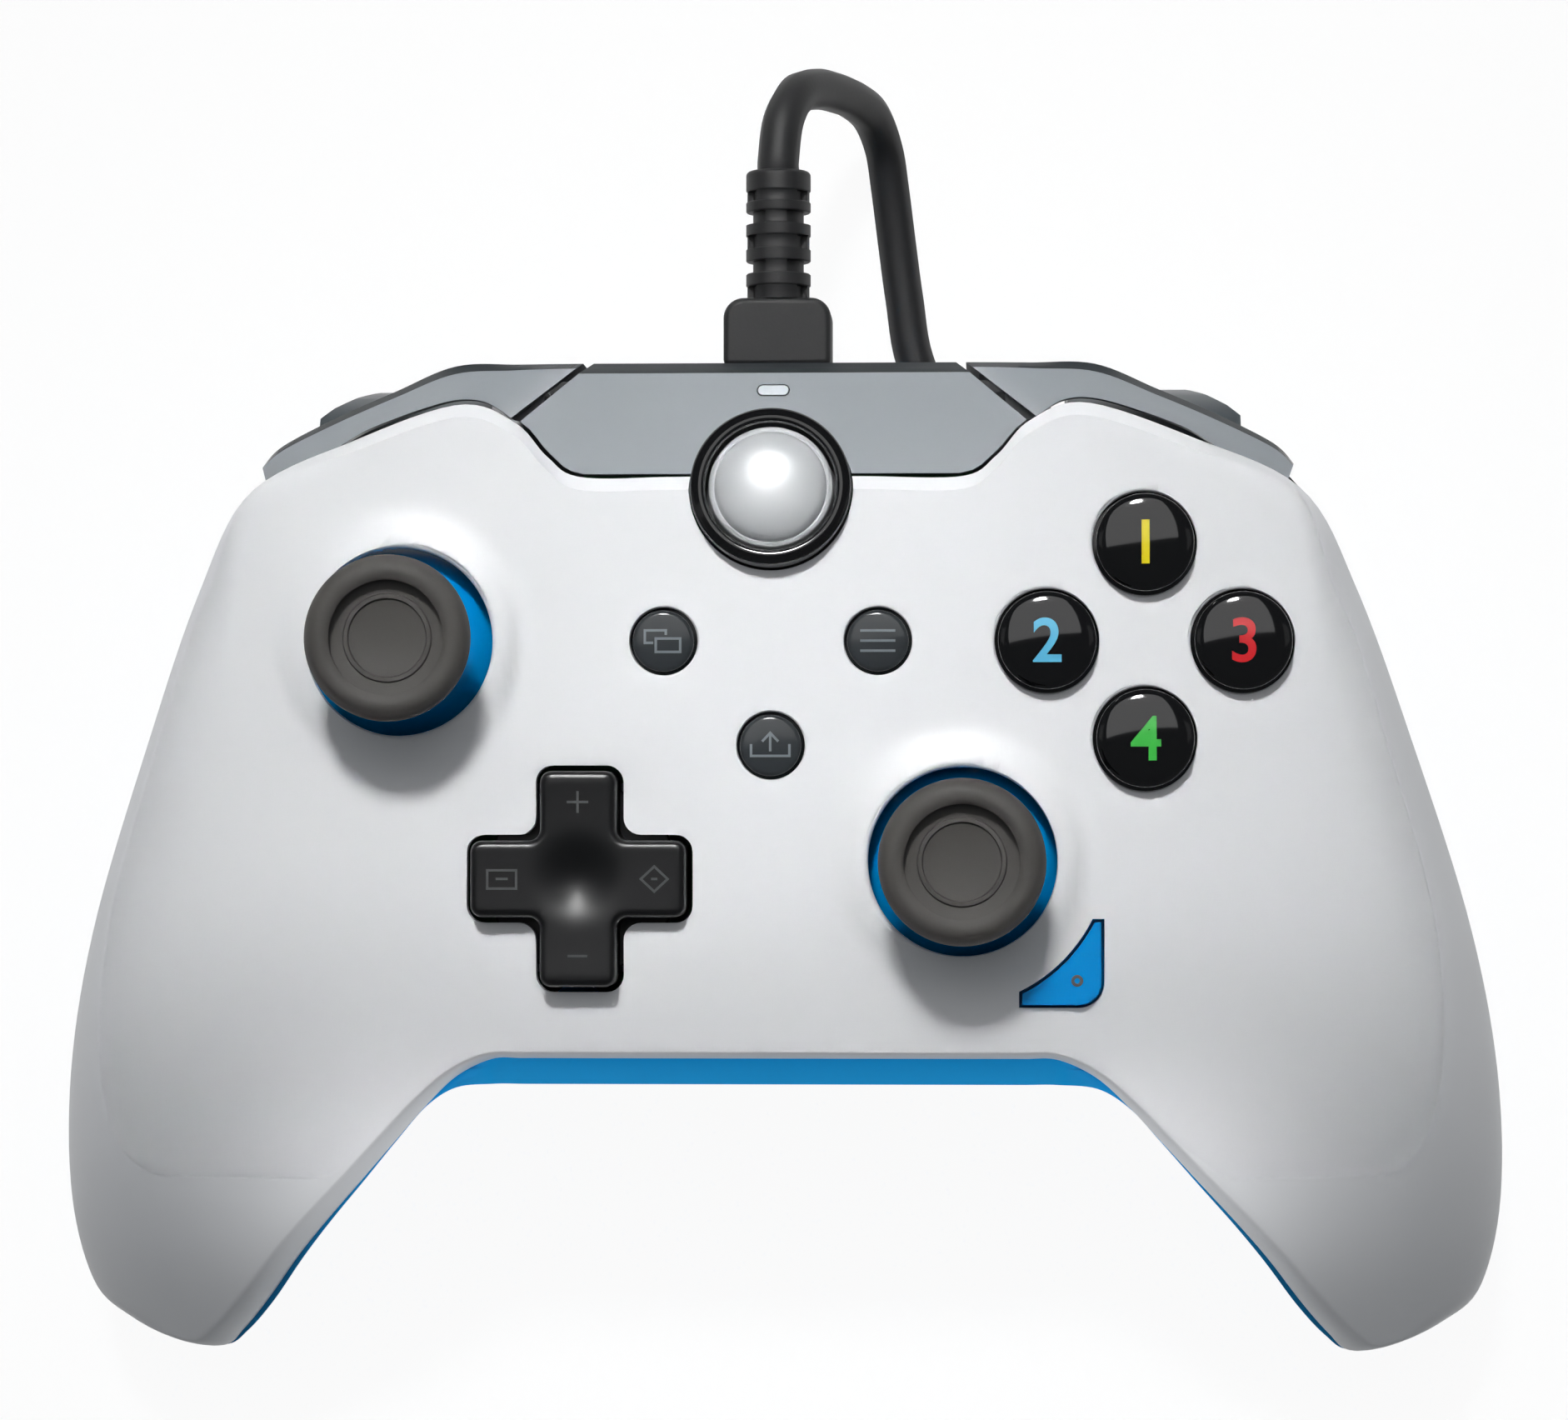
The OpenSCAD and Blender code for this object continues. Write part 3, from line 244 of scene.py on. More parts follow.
numeralLook = {"rough": 0.2, "grain": 0.3, "deep": 0.002, "tint": 0.06, "coat": 0.5}
finishSet = {
    "whiteSatin": {"color": (0.93, 0.935, 0.945), "rough": 0.42, "grain": 0.16, "deep": 0.006, "tint": 0.012},
    "blueSatin": {"color": (0.0, 0.69, 0.99), "rough": 0.34, "grain": 0.16, "deep": 0.006},
    "blueGloss": {"color": (0.0, 0.57, 0.87), "rough": 0.2, "grain": 0.4, "deep": 0.003},
    "greyGloss": {"color": (0.58, 0.60, 0.62), "rough": 0.26, "grain": 3, "deep": 0.002, "coat": 0.1},
    "darkGloss": {"color": (0.20, 0.215, 0.225), "rough": 0.16, "grain": 3, "deep": 0.002, "coat": 0.2},
    # paintedShadeEdge: a dark, dull copy of the panel's plastic, painted on as shade along its back edge
    "paintedShadeEdge": {"color": (0.20, 0.215, 0.225), "rough": 0.45, "grain": 3, "deep": 0.002, "shine": 0.08},
    "triggerGrey": {"color": (0.26, 0.285, 0.30), "rough": 0.36, "grain": 0.2, "deep": 0.008},
    "blackGloss": {
        "color": (0.03, 0.03, 0.035), "rough": 0.07, "grain": 3, "deep": 0.003, "tint": 0.05, "coat": 0.6,
    },
    "blackSatin": {"color": (0.05, 0.05, 0.055), "rough": 0.33, "grain": 1.5, "deep": 0.003, "tint": 0.05},
    "silverDome": {
        "color": (0.78, 0.79, 0.80), "rough": 0.3, "grain": 0.5, "deep": 0.002, "coat": 0.4, "metal": 0.15,
    },
    "thumbRubber": {"color": (0.28, 0.27, 0.26), "rough": 0.62, "grain": 0.12, "deep": 0.02, "tint": 0.08},
    "leadRubber": {"color": (0.115, 0.115, 0.12), "rough": 0.55, "grain": 0.3, "deep": 0.02, "tint": 0.1},
    "steel": {"color": (0.72, 0.73, 0.74), "rough": 0.28, "grain": 0.4, "deep": 0.01, "tint": 0.06, "metal": 1},
    "brass": {"color": (0.62, 0.56, 0.42), "rough": 0.45, "grain": 0.2, "deep": 0.02, "tint": 0.1, "metal": 1},
    "boardGreen": {"color": (0.05, 0.3, 0.16), "rough": 0.35, "grain": 1.2, "deep": 0.03, "tint": 0.2},
    "padSilicone": {"color": (0.6, 0.62, 0.64), "rough": 0.55, "grain": 0.3, "deep": 0.01},
    # innerPlastic: the real colour of the inner parts, and painted shade on the insides and the upper rim of
    # the shells
    "innerPlastic": {"color": (0.16, 0.165, 0.175), "rough": 0.5, "grain": 0.2, "deep": 0.01},
    "clearLens": {"color": (0.82, 0.85, 0.87), "rough": 0.22, "grain": 0.25, "deep": 0.01},
    "markSilver": {"color": (0.46, 0.49, 0.51), "rough": 0.3, "grain": 0.2, "deep": 0.002},
    "markBlack": {"color": (0.33, 0.335, 0.34), "rough": 0.25, "grain": 0.2, "deep": 0.002},
    "yellowMark": {"color": (0.92, 0.85, 0.12), **numeralLook},
    "skyMark": {"color": (0.38, 0.75, 0.90), **numeralLook},
    "redMark": {"color": (0.84, 0.16, 0.18), **numeralLook},
    "greenMark": {"color": (0.27, 0.75, 0.30), **numeralLook},
    "strapBlack": {"color": (0.06, 0.06, 0.065), "rough": 0.8, "grain": 0.5, "deep": 0.08, "tint": 0.2},
}
finishes = {name: moulded(name, **look) for name, look in finishSet.items()}
print("finishes", len(finishes))

# floor and surrounding light
floorSet = {
    "reach": 3, "tone": 0.8, "rough": 0.9, "shadow": 0.08, "lit": 0.75,
    "ambient": 0.09, "sky": (0.88, 0.94, 1, 1),
}


def addFloor():
    s = floorSet
    shape = bmesh.new()
    bmesh.ops.create_grid(shape, x_segments=1, y_segments=1, size=s["reach"])
    mesh = bpy.data.meshes.new("floor")
    shape.to_mesh(mesh)
    shape.free()
    floor = bpy.data.objects.new("floor", mesh)
    scene.collection.objects.link(floor)
    finish = Finish("paleFloor")
    finish.set({"Base Color": (s["tone"], s["tone"], s["tone"], 1), "Roughness": s["rough"]})
    rays = [
        finish.node("ShaderNodeLightPath", {}, {}, ray)
        for ray in ("Is Camera Ray", "Is Glossy Ray", "Is Transmission Ray")
    ]
    seen = rays[0] + rays[1] + rays[2] > 0.5
    veil = finish.node("ShaderNodeBsdfDiffuse", {}, {"Color": (s["shadow"], s["shadow"], s["shadow"], 1)})
    white = {"Color": (1, 1, 1, 1), "Strength": 1 - s["lit"] * s["shadow"]}
    glow = finish.node("ShaderNodeEmission", {}, white)
    pale = finish.node("ShaderNodeAddShader", {}, {0: veil, 1: glow})
    plain = Wire(finish, finish.shader.outputs[0])
    shown = finish.node("ShaderNodeMixShader", {}, {0: seen, 1: plain, 2: pale})
    finish.plug(finish.tree.nodes["Material Output"].inputs[0], shown)
    mesh.materials.append(finish.material)
    world = bpy.data.worlds.new("studio")
    scene.world = world
    world.use_nodes = True
    back = world.node_tree.nodes["Background"]
    back.inputs[0].default_value = s["sky"]
    back.inputs[1].default_value = s["ambient"]


# piece helpers
def shadeByAngle(shape, sharp):
    for edge in shape.edges:
        edge.smooth = len(edge.link_faces) != 2 or edge.calc_face_angle(0) < math.radians(sharp)
    for side in shape.faces:
        side.smooth = True


def addPiece(name, shape, finish, body, stands=(), sharp=38, face=True, even=False):
    if face:
        bmesh.ops.recalc_face_normals(shape, faces=shape.faces)
    shadeByAngle(shape, sharp)
    mesh = bpy.data.meshes.new(name)
    shape.to_mesh(mesh)
    shape.free()
    mesh.transform(Matrix.Scale(mm, 4))
    for one in [finish] if isinstance(finish, str) else finish:
        mesh.materials.append(finishes[one].material)
    piece = bpy.data.objects.new(name, mesh)
    scene.collection.objects.link(piece)
    if even:  # broad flats keep their own normal beside narrow rounded edges
        piece.modifiers.new("even", "WEIGHTED_NORMAL").keep_sharp = True
    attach(piece, body)
    if stands:
        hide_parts(*stands)
    return piece


def vertsOf(geom):
    return [g for g in geom if isinstance(g, bmesh.types.BMVert)]


def turn(shape, profile, place=Matrix(), steps=96):
    older = set(shape.verts)
    points = [shape.verts.new((r, 0, z)) for r, z in profile]
    lines = [shape.edges.new(pair) for pair in zip(points, points[1:])]
    bmesh.ops.spin(
        shape, geom=points + lines, cent=(0, 0, 0), axis=(0, 0, 1), angle=math.tau, steps=steps, use_merge=True
    )
    bmesh.ops.remove_doubles(shape, verts=[v for v in shape.verts if v not in older], dist=1e-4)
    bmesh.ops.transform(shape, matrix=place, verts=[v for v in shape.verts if v not in older])


def roundEdges(shape, width, angle=30):
    edges = [e for e in shape.edges if len(e.link_faces) == 2 and e.calc_face_angle(0) > math.radians(angle)]
    bmesh.ops.bevel(  # clamped, so a mesh with very short edges gets far less than width
        shape, geom=edges, offset=width, offset_type="OFFSET", segments=3, profile=0.5,
        affect="EDGES", material=-1, clamp_overlap=True,
    )


def roundCorners(shape, face, width):
    bmesh.ops.bevel(
        shape, geom=list(face.verts), offset=width, offset_type="OFFSET", segments=6, profile=0.5,
        affect="VERTICES", material=-1, clamp_overlap=True,
    )


def lifted(shape, faces, height):
    made = bmesh.ops.extrude_face_region(shape, geom=faces)["geom"]
    bmesh.ops.translate(shape, vec=(0, 0, height), verts=vertsOf(made))


def loft(shape, rings, dark=()):  # dark lists the sides of a ring that take the second finish
    loops = []
    for ring in rings:
        points = [shape.verts.new(p) for p in ring]
        loops.append([shape.edges.new(pair) for pair in zip(points, points[1:] + points[:1])])
    for low, high in zip(loops, loops[1:]):
        bmesh.ops.bridge_loops(shape, edges=low + high)
        for i, edge in enumerate(high):
            edge.link_faces[0].material_index = int(i in dark)
    bmesh.ops.holes_fill(shape, edges=loops[0] + loops[-1])


def nodeShape(name):
    shape = bmesh.new()
    shape.from_mesh(frame["nodes"][name].data)
    bmesh.ops.scale(shape, vec=(1 / mm, 1 / mm, 1 / mm), verts=shape.verts)
    bmesh.ops.remove_doubles(shape, verts=shape.verts, dist=1e-3)
    bmesh.ops.dissolve_limit(shape, angle_limit=math.radians(1), verts=shape.verts, edges=shape.edges)
    return shape


def softened(node, finish, body, width, angle=30):
    shape = nodeShape(node)
    roundEdges(shape, width, angle)
    return addPiece(node + "_moulding", shape, finish, body, [node], face=False, even=True)


def cutAway(piece, cutter, sharp=33):
    mesh = bpy.data.meshes.new("cutter")
    bmesh.ops.recalc_face_normals(cutter, faces=cutter.faces)
    cutter.to_mesh(mesh)
    cutter.free()
    mesh.transform(Matrix.Scale(mm, 4))
    tool = bpy.data.objects.new("cutter", mesh)
    scene.collection.objects.link(tool)
    cut = piece.modifiers.new("cut", "BOOLEAN")
    cut.operation, cut.solver, cut.object = "DIFFERENCE", "MANIFOLD", tool
    bpy.context.view_layer.update()
    done = bpy.data.meshes.new_from_object(piece.evaluated_get(bpy.context.evaluated_depsgraph_get()))
    piece.modifiers.clear()
    piece.data = done
    bpy.data.objects.remove(tool)
    shape = bmesh.new()
    shape.from_mesh(done)
    shadeByAngle(shape, sharp)
    shape.to_mesh(done)
    shape.free()


# the moulded shells
bodySet = {
    "faceH": 46, "bellyH": 21, "crown": 3.5, "halfW": 78.5, "droop": 26, "bendY": -4, "bendLen": 50,
    "lipDrop": 2, "seam": 0.2, "rearTop": 23, "wall": 1.7, "rows": 220, "cols": 64, "edgeCols": 14,
    "collarH": 1.1, "collarR": 13.2, "collarSlope": 1.9, "dishDepth": 0.35, "dishR": 12.6, "dishSlope": 1.3,
    "chamfer": 1.45, "chamferFrom": 0.3, "tipPull": 0.12, "leastR": 0.6, "paintedShadeFromY": 20,
    "innerDrop": 10, "innerSlope": 0.7, "innerY": -20.4, "outerDrop": 20, "outerSlope": 0.25,
}
gripSet = {"fromX": 38, "overX": 22, "fromY": 48, "overY": 38, "tipRise": 7, "tipY": -36, "tipLen": 20}
ledgeSet = {
    "wide": 2.8, "endAt": 5, "fade": 1.3, "reach": 6, "rings": 48, "thick": 1.6, "rise": 0.1, "clear": 0.05,
}
leftStick, rightStick, dpadAt = (-39, 23.5), (20, 0.5), (-20, -1.3)
# a station: outer x and y, inner x and y, outer and inner rounding, drop of the outer edge to the parting
frontStations = [
    (0, 40.8, 0, -20.4, 2.2, 1, 0), (10, 40.8, 9, -20.4, 2.2, 1, 0), (20, 40.8, 18, -20.4, 2.2, 1, 0),
    (23.6, 43, 22.5, -20.4, 2.2, 1, 0), (27, 46.6, 26.5, -20.4, 2.2, 1, 0), (33, 48.5, 30, -20.5, 2.2, 1, 0),
    (44.5, 44.8, 34, -22.4, 2.6, 1.1, 0.3), (55.9, 39.8, 37.5, -25.6, 5, 1.3, 0.9),
    (61.9, 29.3, 41, -29.4, 12, 1.5, 1), (68, 13.2, 45, -33.8, 15, 1.6, 1),
    (74.3, -5.6, 49.4, -38.6, 16, 1.8, 1), (77.7, -21.5, 53, -42.8, 16, 2, 1),
    (78.5, -36, 56.8, -47.8, 15, 2.4, 1), (76.6, -46, 59.9, -51.4, 14, 3, 1),
    (72.8, -49.7, 62.4, -53.4, 12, 5, 1), (67.9, -51.9, 67.2, -52.2, 11, 9, 1),
]
rearStations = [
    (0, 53.2, 0, -23.2, 5, 4, 0), (10, 53.2, 9, -23.2, 5, 4, 0), (19, 53.2, 18, -23.2, 5, 4, 0),
    (27, 53.2, 22.5, -23.2, 5, 4, 0), (34, 52.6, 26.5, -23.2, 5, 4, 0), (42, 49.6, 30, -23.2, 5, 4, 0),
    (50, 46, 34.2, -23.7, 5, 5, 0), (56, 39.9, 37.6, -25.8, 5, 7, 0.9), (61.9, 29.3, 41, -29.5, 10, 9, 1),
    (68, 13.2, 44.9, -34, 14, 11, 1), (74.3, -5.6, 49.2, -38.9, 16, 12, 1),
    (77.7, -21.5, 52.7, -43.2, 16, 12, 1), (78.5, -36, 56.4, -48.2, 15, 12, 1),
    (76.6, -46, 59.6, -51.7, 14, 11, 1), (72.8, -49.7, 62.3, -53.4, 12, 10, 1),
    (67.9, -51.9, 67.2, -52.2, 11, 9, 1),
]


def innerPartingZ(y):
    return bodySet["faceH"] - bodySet["innerDrop"] + bodySet["innerSlope"] * (y - bodySet["innerY"])


def rearRimZ(u):
    lift = ledgeSet["wide"] * (1 - ease((u - ledgeSet["endAt"]) / ledgeSet["fade"]))
    return innerPartingZ(spline(rearStations, u)[3] + lift) - bodySet["seam"]


def faceZ(x, y):
    b = bodySet
    sag = b["droop"] * (max(0, b["bendY"] - y) / b["bendLen"]) ** 2
    return b["faceH"] - b["crown"] * (x / b["halfW"]) ** 2 - sag


def bellyZ(x, y):
    g = gripSet
    grip = ease((abs(x) - g["fromX"]) / g["overX"]) * ease((g["fromY"] - y) / g["overY"])
    return bodySet["bellyH"] * (1 - grip) + g["tipRise"] * ease((g["tipY"] - y) / g["tipLen"])


def dressedFaceZ(x, y):  # the face with its stick collars and the cross pad's dish
    b = bodySet
    z = faceZ(x, y)
    for stick in (leftStick, rightStick):
        away = math.hypot(x - stick[0], y - stick[1])
        z += b["collarH"] * ease((b["collarR"] - away) / b["collarSlope"])
    away = math.hypot(x - dpadAt[0], y - dpadAt[1])
    return z - b["dishDepth"] * ease((b["dishR"] - away) / b["dishSlope"])


def skinPoint(stations, along, column, isFront, inset):
    b = bodySet
    u = abs(along) * (len(stations) - 1 - b["tipPull"] * inset)
    ox, oy, ix, iy, r1, r2, drop = spline(stations, u)
    side = 1 if along >= 0 else -1
    gap = math.hypot(ix - ox, iy - oy)
    inset = min(inset, 0.4 * gap)  # the wall thins out at the grip's tip
    length = gap - 2 * inset
    r1, r2 = max(b["leastR"], r1 - inset), max(b["leastR"], r2 - inset)
    k = (1 + (0.98 * length / (r1 + r2)) ** -10) ** -0.1  # a smooth minimum of 1 and the room there is
    full = quarter(1.4 * length / (r1 + r2))  # the crown sinks to the parting at the tip
    edge, last = b["edgeCols"], b["cols"]
    if column < edge:
        d = r1 * k * (1 - math.cos(math.pi / 2 * column / edge))
    elif column > last - edge:
        d = length - r2 * k * (1 - math.cos(math.pi / 2 * (last - column) / edge))
    else:
        d = mix(r1 * k, length - r2 * k, (column - edge) / (last - 2 * edge))
    outer = quarter(d / (r1 * k))
    drop = clamp(drop)
    if isFront and not inset and column <= edge:  # the flat chamfer along the upper edge, gone at the grips
        t = max(0, column - 1) / (edge / 2 - 1)
        flat = b["chamfer"] * t if t <= 1 else mix(b["chamfer"], r1 * k, (column - edge / 2) / (edge / 2))
        rise = 0 if column == 0 else min(1, mix(b["chamferFrom"], 1, t))
        fade = ease((drop - 0.2) / 0.7)
        d, outer = mix(flat, d, fade), mix(rise, outer, fade)
    x, y = mix(ox, ix, (inset + d) / gap), mix(oy, iy, (inset + d) / gap)
    crown = full * outer * quarter((length - d) / (r2 * k))
    parting = b["faceH"] - b["outerDrop"] + b["outerSlope"] * oy
    if isFront:
        start, end = mix(faceZ(ox, oy) - b["lipDrop"], parting, drop), innerPartingZ(iy)
        goal = dressedFaceZ(side * x, y) - inset
    else:
        start, end, goal = mix(b["rearTop"], parting - b["seam"], drop), rearRimZ(u), bellyZ(x, y) + inset
    return side * x, y, mix(mix(start, end, d / length), goal, crown)


def shellSkin(stations, isFront):
    shape = bmesh.new()
    cols, rows = bodySet["cols"], bodySet["rows"]
    for inset in (0, bodySet["wall"]):
        outside = set(shape.faces)
        made = bmesh.ops.create_grid(shape, x_segments=cols, y_segments=rows, size=1)["verts"]
        for v in made:
            v.co = skinPoint(stations, v.co.y, round((v.co.x + 1) / 2 * cols), isFront, inset)
    inside = set(shape.faces) - outside
    bmesh.ops.bridge_loops(shape, edges=[e for e in shape.edges if e.is_boundary])
    for face in shape.faces:  # painted shade: dark within, and on the rim under the top panel, where the gaps lie in shade
        rim = face not in outside and face.calc_center_median().y > bodySet["paintedShadeFromY"]
        face.material_index = int(face in inside or rim)
    bmesh.ops.recalc_face_normals(shape, faces=shape.faces)
    return shape


def makeLedge():
    s = ledgeSet
    rings = []
    for i in range(-s["rings"], s["rings"] + 1):
        u = abs(i) / s["rings"] * s["reach"]
        side = 1 if i >= 0 else -1
        front, rear = spline(frontStations, u), spline(rearStations, u)
        x0, y0, x1, y1 = side * rear[2], rear[3] + s["clear"], side * front[2], front[3] + bodySet["wall"]
        top = rearRimZ(u) + s["rise"]
        low = top - s["thick"]
        rings.append([(x0, y0, low), (x1, y1, low), (x1, y1, top), (x0, y0, top)])
    shape = bmesh.new()
    loft(shape, rings)
    addPiece("blue_ledge", shape, "blueSatin", "body")


def at(x, y, lift=0):
    return Matrix.Translation((x, y, faceZ(x, y) + lift))


cutReach = 9  # how far a cutter goes below and above the face


def holeProfile(r, top, lip):
    wall = [(0, -cutReach), (r, -cutReach), (r, top - lip)]
    return wall + arc(r + lip, top - lip, lip, 180, 90) + [(r + lip, top + cutReach), (0, top + cutReach)]


crossSet = {"span": 22.5, "arm": 8, "gap": 0.6, "corner": 1.2}


def crossOutline(shape, grow, corner):
    a, b = crossSet["span"] / 2 + grow, crossSet["arm"] / 2 + grow
    ring, arm = [], [(a, -b), (a, b), (b, b)]
    for quarterTurn in range(4):
        ring += arm
        arm = [(-y, x) for x, y in arm]
    roundCorners(shape, shape.faces.new([shape.verts.new((x, y, 0)) for x, y in ring]), corner)
    return list(shape.faces)


functionSet = {
    "at": (34.4, -14.4), "wide": 8.2, "high": 8.6, "hollow": (-15.9, 16.4, 17.1), "corner": 2.35, "gap": 0.35,
    "edge": 0.25, "edgeAngle": 40, "dotAt": (31.9, -11.9), "dotSteps": 48,
}


def functionOutline(shape, grow):
    s = functionSet
    fx, fy, fr = s["hollow"]
    left, top, r = -s["wide"] - grow, s["high"] + grow, fr - grow
    turnTop = math.degrees(math.asin((top - fy) / r))
    turnLeft = -math.degrees(math.acos((left - fx) / r))
    points = arc(-s["corner"], s["corner"], s["corner"] + grow, -90, 0, 10) + [(grow, top)]
    points += arc(fx, fy, r, turnTop, turnLeft, 24) + [(left, -grow)]
    return [shape.faces.new([shape.verts.new((x, y, 0)) for x, y in points])]


def addPrism(cutter, place, outline, *sizes):
    part = bmesh.new()
    faces = outline(part, *sizes)
    bmesh.ops.translate(part, vec=(0, 0, -cutReach), verts=part.verts)
    lifted(part, faces, 2 * cutReach)
    bmesh.ops.transform(part, matrix=at(*place), verts=part.verts)
    bmesh.ops.recalc_face_normals(part, faces=part.faces)
    holder = bpy.data.meshes.new("outline")
    part.to_mesh(holder)
    part.free()
    cutter.from_mesh(holder)


def makeFrontShell():
    b, g = buttonSet, guideSet
    shell = addPiece(
        "white_face", shellSkin(frontStations, True), ["whiteSatin", "innerPlastic"], "body",
        ["front_shell"], face=False,
    )
    cutter = bmesh.new()
    for stick in (leftStick, rightStick):
        turn(cutter, holeProfile(capSet["holeR"], bodySet["collarH"], capSet["holeLip"]), at(*stick))
    for place in faceButtons.values():
        turn(cutter, holeProfile(b["r"] + b["gap"], 0, b["lip"]), at(*place))
    for place in b["small"].values():
        turn(cutter, holeProfile(b["smallR"] + b["gap"], 0, b["smallLip"]), at(*place))
    turn(cutter, holeProfile(g["holeR"], 0, g["holeLip"]), guideFrame())
    addPrism(cutter, dpadAt, crossOutline, crossSet["gap"], crossSet["corner"] + crossSet["gap"])
    addPrism(cutter, functionSet["at"], functionOutline, functionSet["gap"])
    cutAway(shell, cutter)
    print("white face", len(shell.data.polygons))


screwSet = {
    "places": [(58, 13, 12), (64, -38, 7), (22, -15.8, 22.9)],  # x, y and the height of the head's seat
    "holeR": 2.9, "holeLow": -2, "holeTop": 1, "mouthR": 2.85, "mouth": (0.9, 1.1), "headR": 2.6,
    "shankR": 1.35, "columnR": 3, "seatT": 1.4, "steps": 48,
}
baySet = {"x": 40.6, "half": 11.45, "front": 39.8, "back": 60, "low": -5, "high": 40}
jackSet = {"y": -15, "z": 28.8, "r": 3, "deep": 12, "steps": 48}


def addBar(shape, low, high):
    made = bmesh.ops.create_cube(shape, size=1)["verts"]
    bmesh.ops.scale(shape, vec=[b - a for a, b in zip(low, high)], verts=made)
    bmesh.ops.translate(shape, vec=[(a + b) / 2 for a, b in zip(low, high)], verts=made)


def makeRearShell():
    shell = addPiece(
        "blue_back", shellSkin(rearStations, False), ["blueSatin", "innerPlastic"], "body",
        ["rear_shell"], face=False,
    )
    s = screwSet
    cutter, wells = bmesh.new(), bmesh.new()
    for x, y, seat in s["places"]:
        low, top = s["holeLow"], seat - s["holeTop"]
        hole = [(0, low), (s["holeR"], low), (s["holeR"], top), (0, top)]
        mouth, slope = (bellyZ(x, y) + high for high in s["mouth"])
        under = seat + s["seatT"]
        well = [(s["mouthR"], mouth), (s["headR"], slope), (s["headR"], seat), (s["shankR"], seat),
                (s["shankR"], under), (s["columnR"], under), (s["columnR"], mouth), (s["mouthR"], mouth)]
        for side in (-1, 1):
            place = Matrix.Translation((side * x, y, 0))
            turn(cutter, hole, place, s["steps"])
            turn(wells, well, place, s["steps"])
    for side in (-1, 1):
        x0, x1 = sorted((side * (baySet["x"] - baySet["half"]), side * (baySet["x"] + baySet["half"])))
        addBar(cutter, (x0, baySet["front"], baySet["low"]), (x1, baySet["back"], baySet["high"]))
    r, deep = jackSet["r"], jackSet["deep"]
    place = Matrix.Translation((0, jackSet["y"], jackSet["z"])) @ Matrix.Rotation(math.pi / 2, 4, "X")
    turn(cutter, [(0, 0), (r, 0), (r, deep), (0, deep)], place, jackSet["steps"])
    cutAway(shell, cutter)
    addPiece("screw_wells", wells, "blueSatin", "body")
    print("blue back", len(shell.data.polygons))


# lead, plugs and strap
leadSet = {
    "d": 4.5, "portZ": 27.6, "lieZ": 2.35, "coilAt": (4, 15.5), "coilOut": 33, "turns": 3.5, "step": 4.95,
    "climb": 0.5, "layers": 4, "endTurn": 0.25, "perTurn": 40, "runParts": 6, "tailParts": 5,
}
leadPoints = [
    (0, 75.15, 27.6), (0, 76.55, 27.6), (0.5, 80.9, 26.5), (1.9, 84.2, 23.6), (3.9, 85.4, 19.5),
    (5.7, 85.6, 15.7), (7.5, 85.4, 11.9), (9.5, 84.2, 7.8), (10.9, 80.9, 4.8), (11.6, 76.4, 3.4),
    (12.4, 70, 2.6), (13.2, 64, 2.35), (14.4, 57, 2.35), (18, 49.4, 2.35), (24, 42, 2.35),
    (30.6, 34.6, 2.35), (35, 27.4, 2.35), (37, 20, 2.35), (37, 15.5, 2.35),
]
tailPoints = [
    (4, -18.7, 17.2), (-0.5, -18.7, 17.2), (-8, -18.6, 15.6), (-16, -18.2, 11.4), (-23.6, -17.2, 7.2),
    (-30.4, -14.6, 4.6), (-35.6, -10.4, 3.9), (-38.6, -5.6, 3.85), (-39.2, -1, 3.85), (-39.2, 1, 3.85),
]


def coilPoint(t):
    c = leadSet
    i = min(c["layers"] - 1, int(t / c["turns"]))
    f = t / c["turns"] - i
    r = c["coilOut"] - c["step"] * c["turns"] * (f if i % 2 == 0 else 1 - f)
    climbs = [ease((t - layer * c["turns"]) / c["climb"] + 0.5) for layer in range(1, c["layers"])]
    z = c["lieZ"] + c["step"] * sum(climbs)
    a = -math.tau * t
    return c["coilAt"][0] + r * math.cos(a), c["coilAt"][1] + r * math.sin(a), z


def smoothRun(points, parts):
    return [spline(points, i / parts) for i in range((len(points) - 1) * parts + 1)]


def makeLead():
    c = leadSet
    count = round(c["perTurn"] * (c["turns"] * c["layers"] + c["endTurn"]))
    route = smoothRun(leadPoints, c["runParts"])[:-1]
    route += [coilPoint(i / c["perTurn"]) for i in range(count + 1)]
    route += smoothRun(tailPoints, c["tailParts"])[1:]
    curve = bpy.data.curves.new("lead", "CURVE")
    curve.dimensions = "3D"
    curve.bevel_depth = c["d"] / 2 * mm
    curve.bevel_resolution = 3
    curve.use_fill_caps = True
    line = curve.splines.new("POLY")
    line.points.add(len(route) - 1)
    for point, place in zip(line.points, route):
        point.co = (*(v * mm for v in place), 1)
    line.use_smooth = True
    curve.materials.append(finishes["leadRubber"].material)
    lead = bpy.data.objects.new("lead", curve)
    scene.collection.objects.link(lead)
    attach(lead, "body")
    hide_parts("cable", "cable_coil", "cable_tail")
    farPlug = makeFarPlug()
    strap = makeStrap()
    [v * mm for v in route[0]]


farPlugSet = {"shellFrom": 19.5, "edge": 0.8}


def makeFarPlug():
    shape = nodeShape("far_plug")
    roundEdges(shape, farPlugSet["edge"])
    for face in shape.faces:
        face.material_index = int(face.calc_center_median().y > farPlugSet["shellFrom"])
    return addPiece(
        "far_plug_moulding", shape, ["leadRubber", "steel"], "body", ["far_plug"], face=False
    )


strapSet = {
    "turnAt": 135, "width": 7, "thick": 0.6, "rIn": 12.7, "rOut": 35.6, "low": 0.03, "high": 19.6, "corner": 3,
    "floor": 0.01,
}


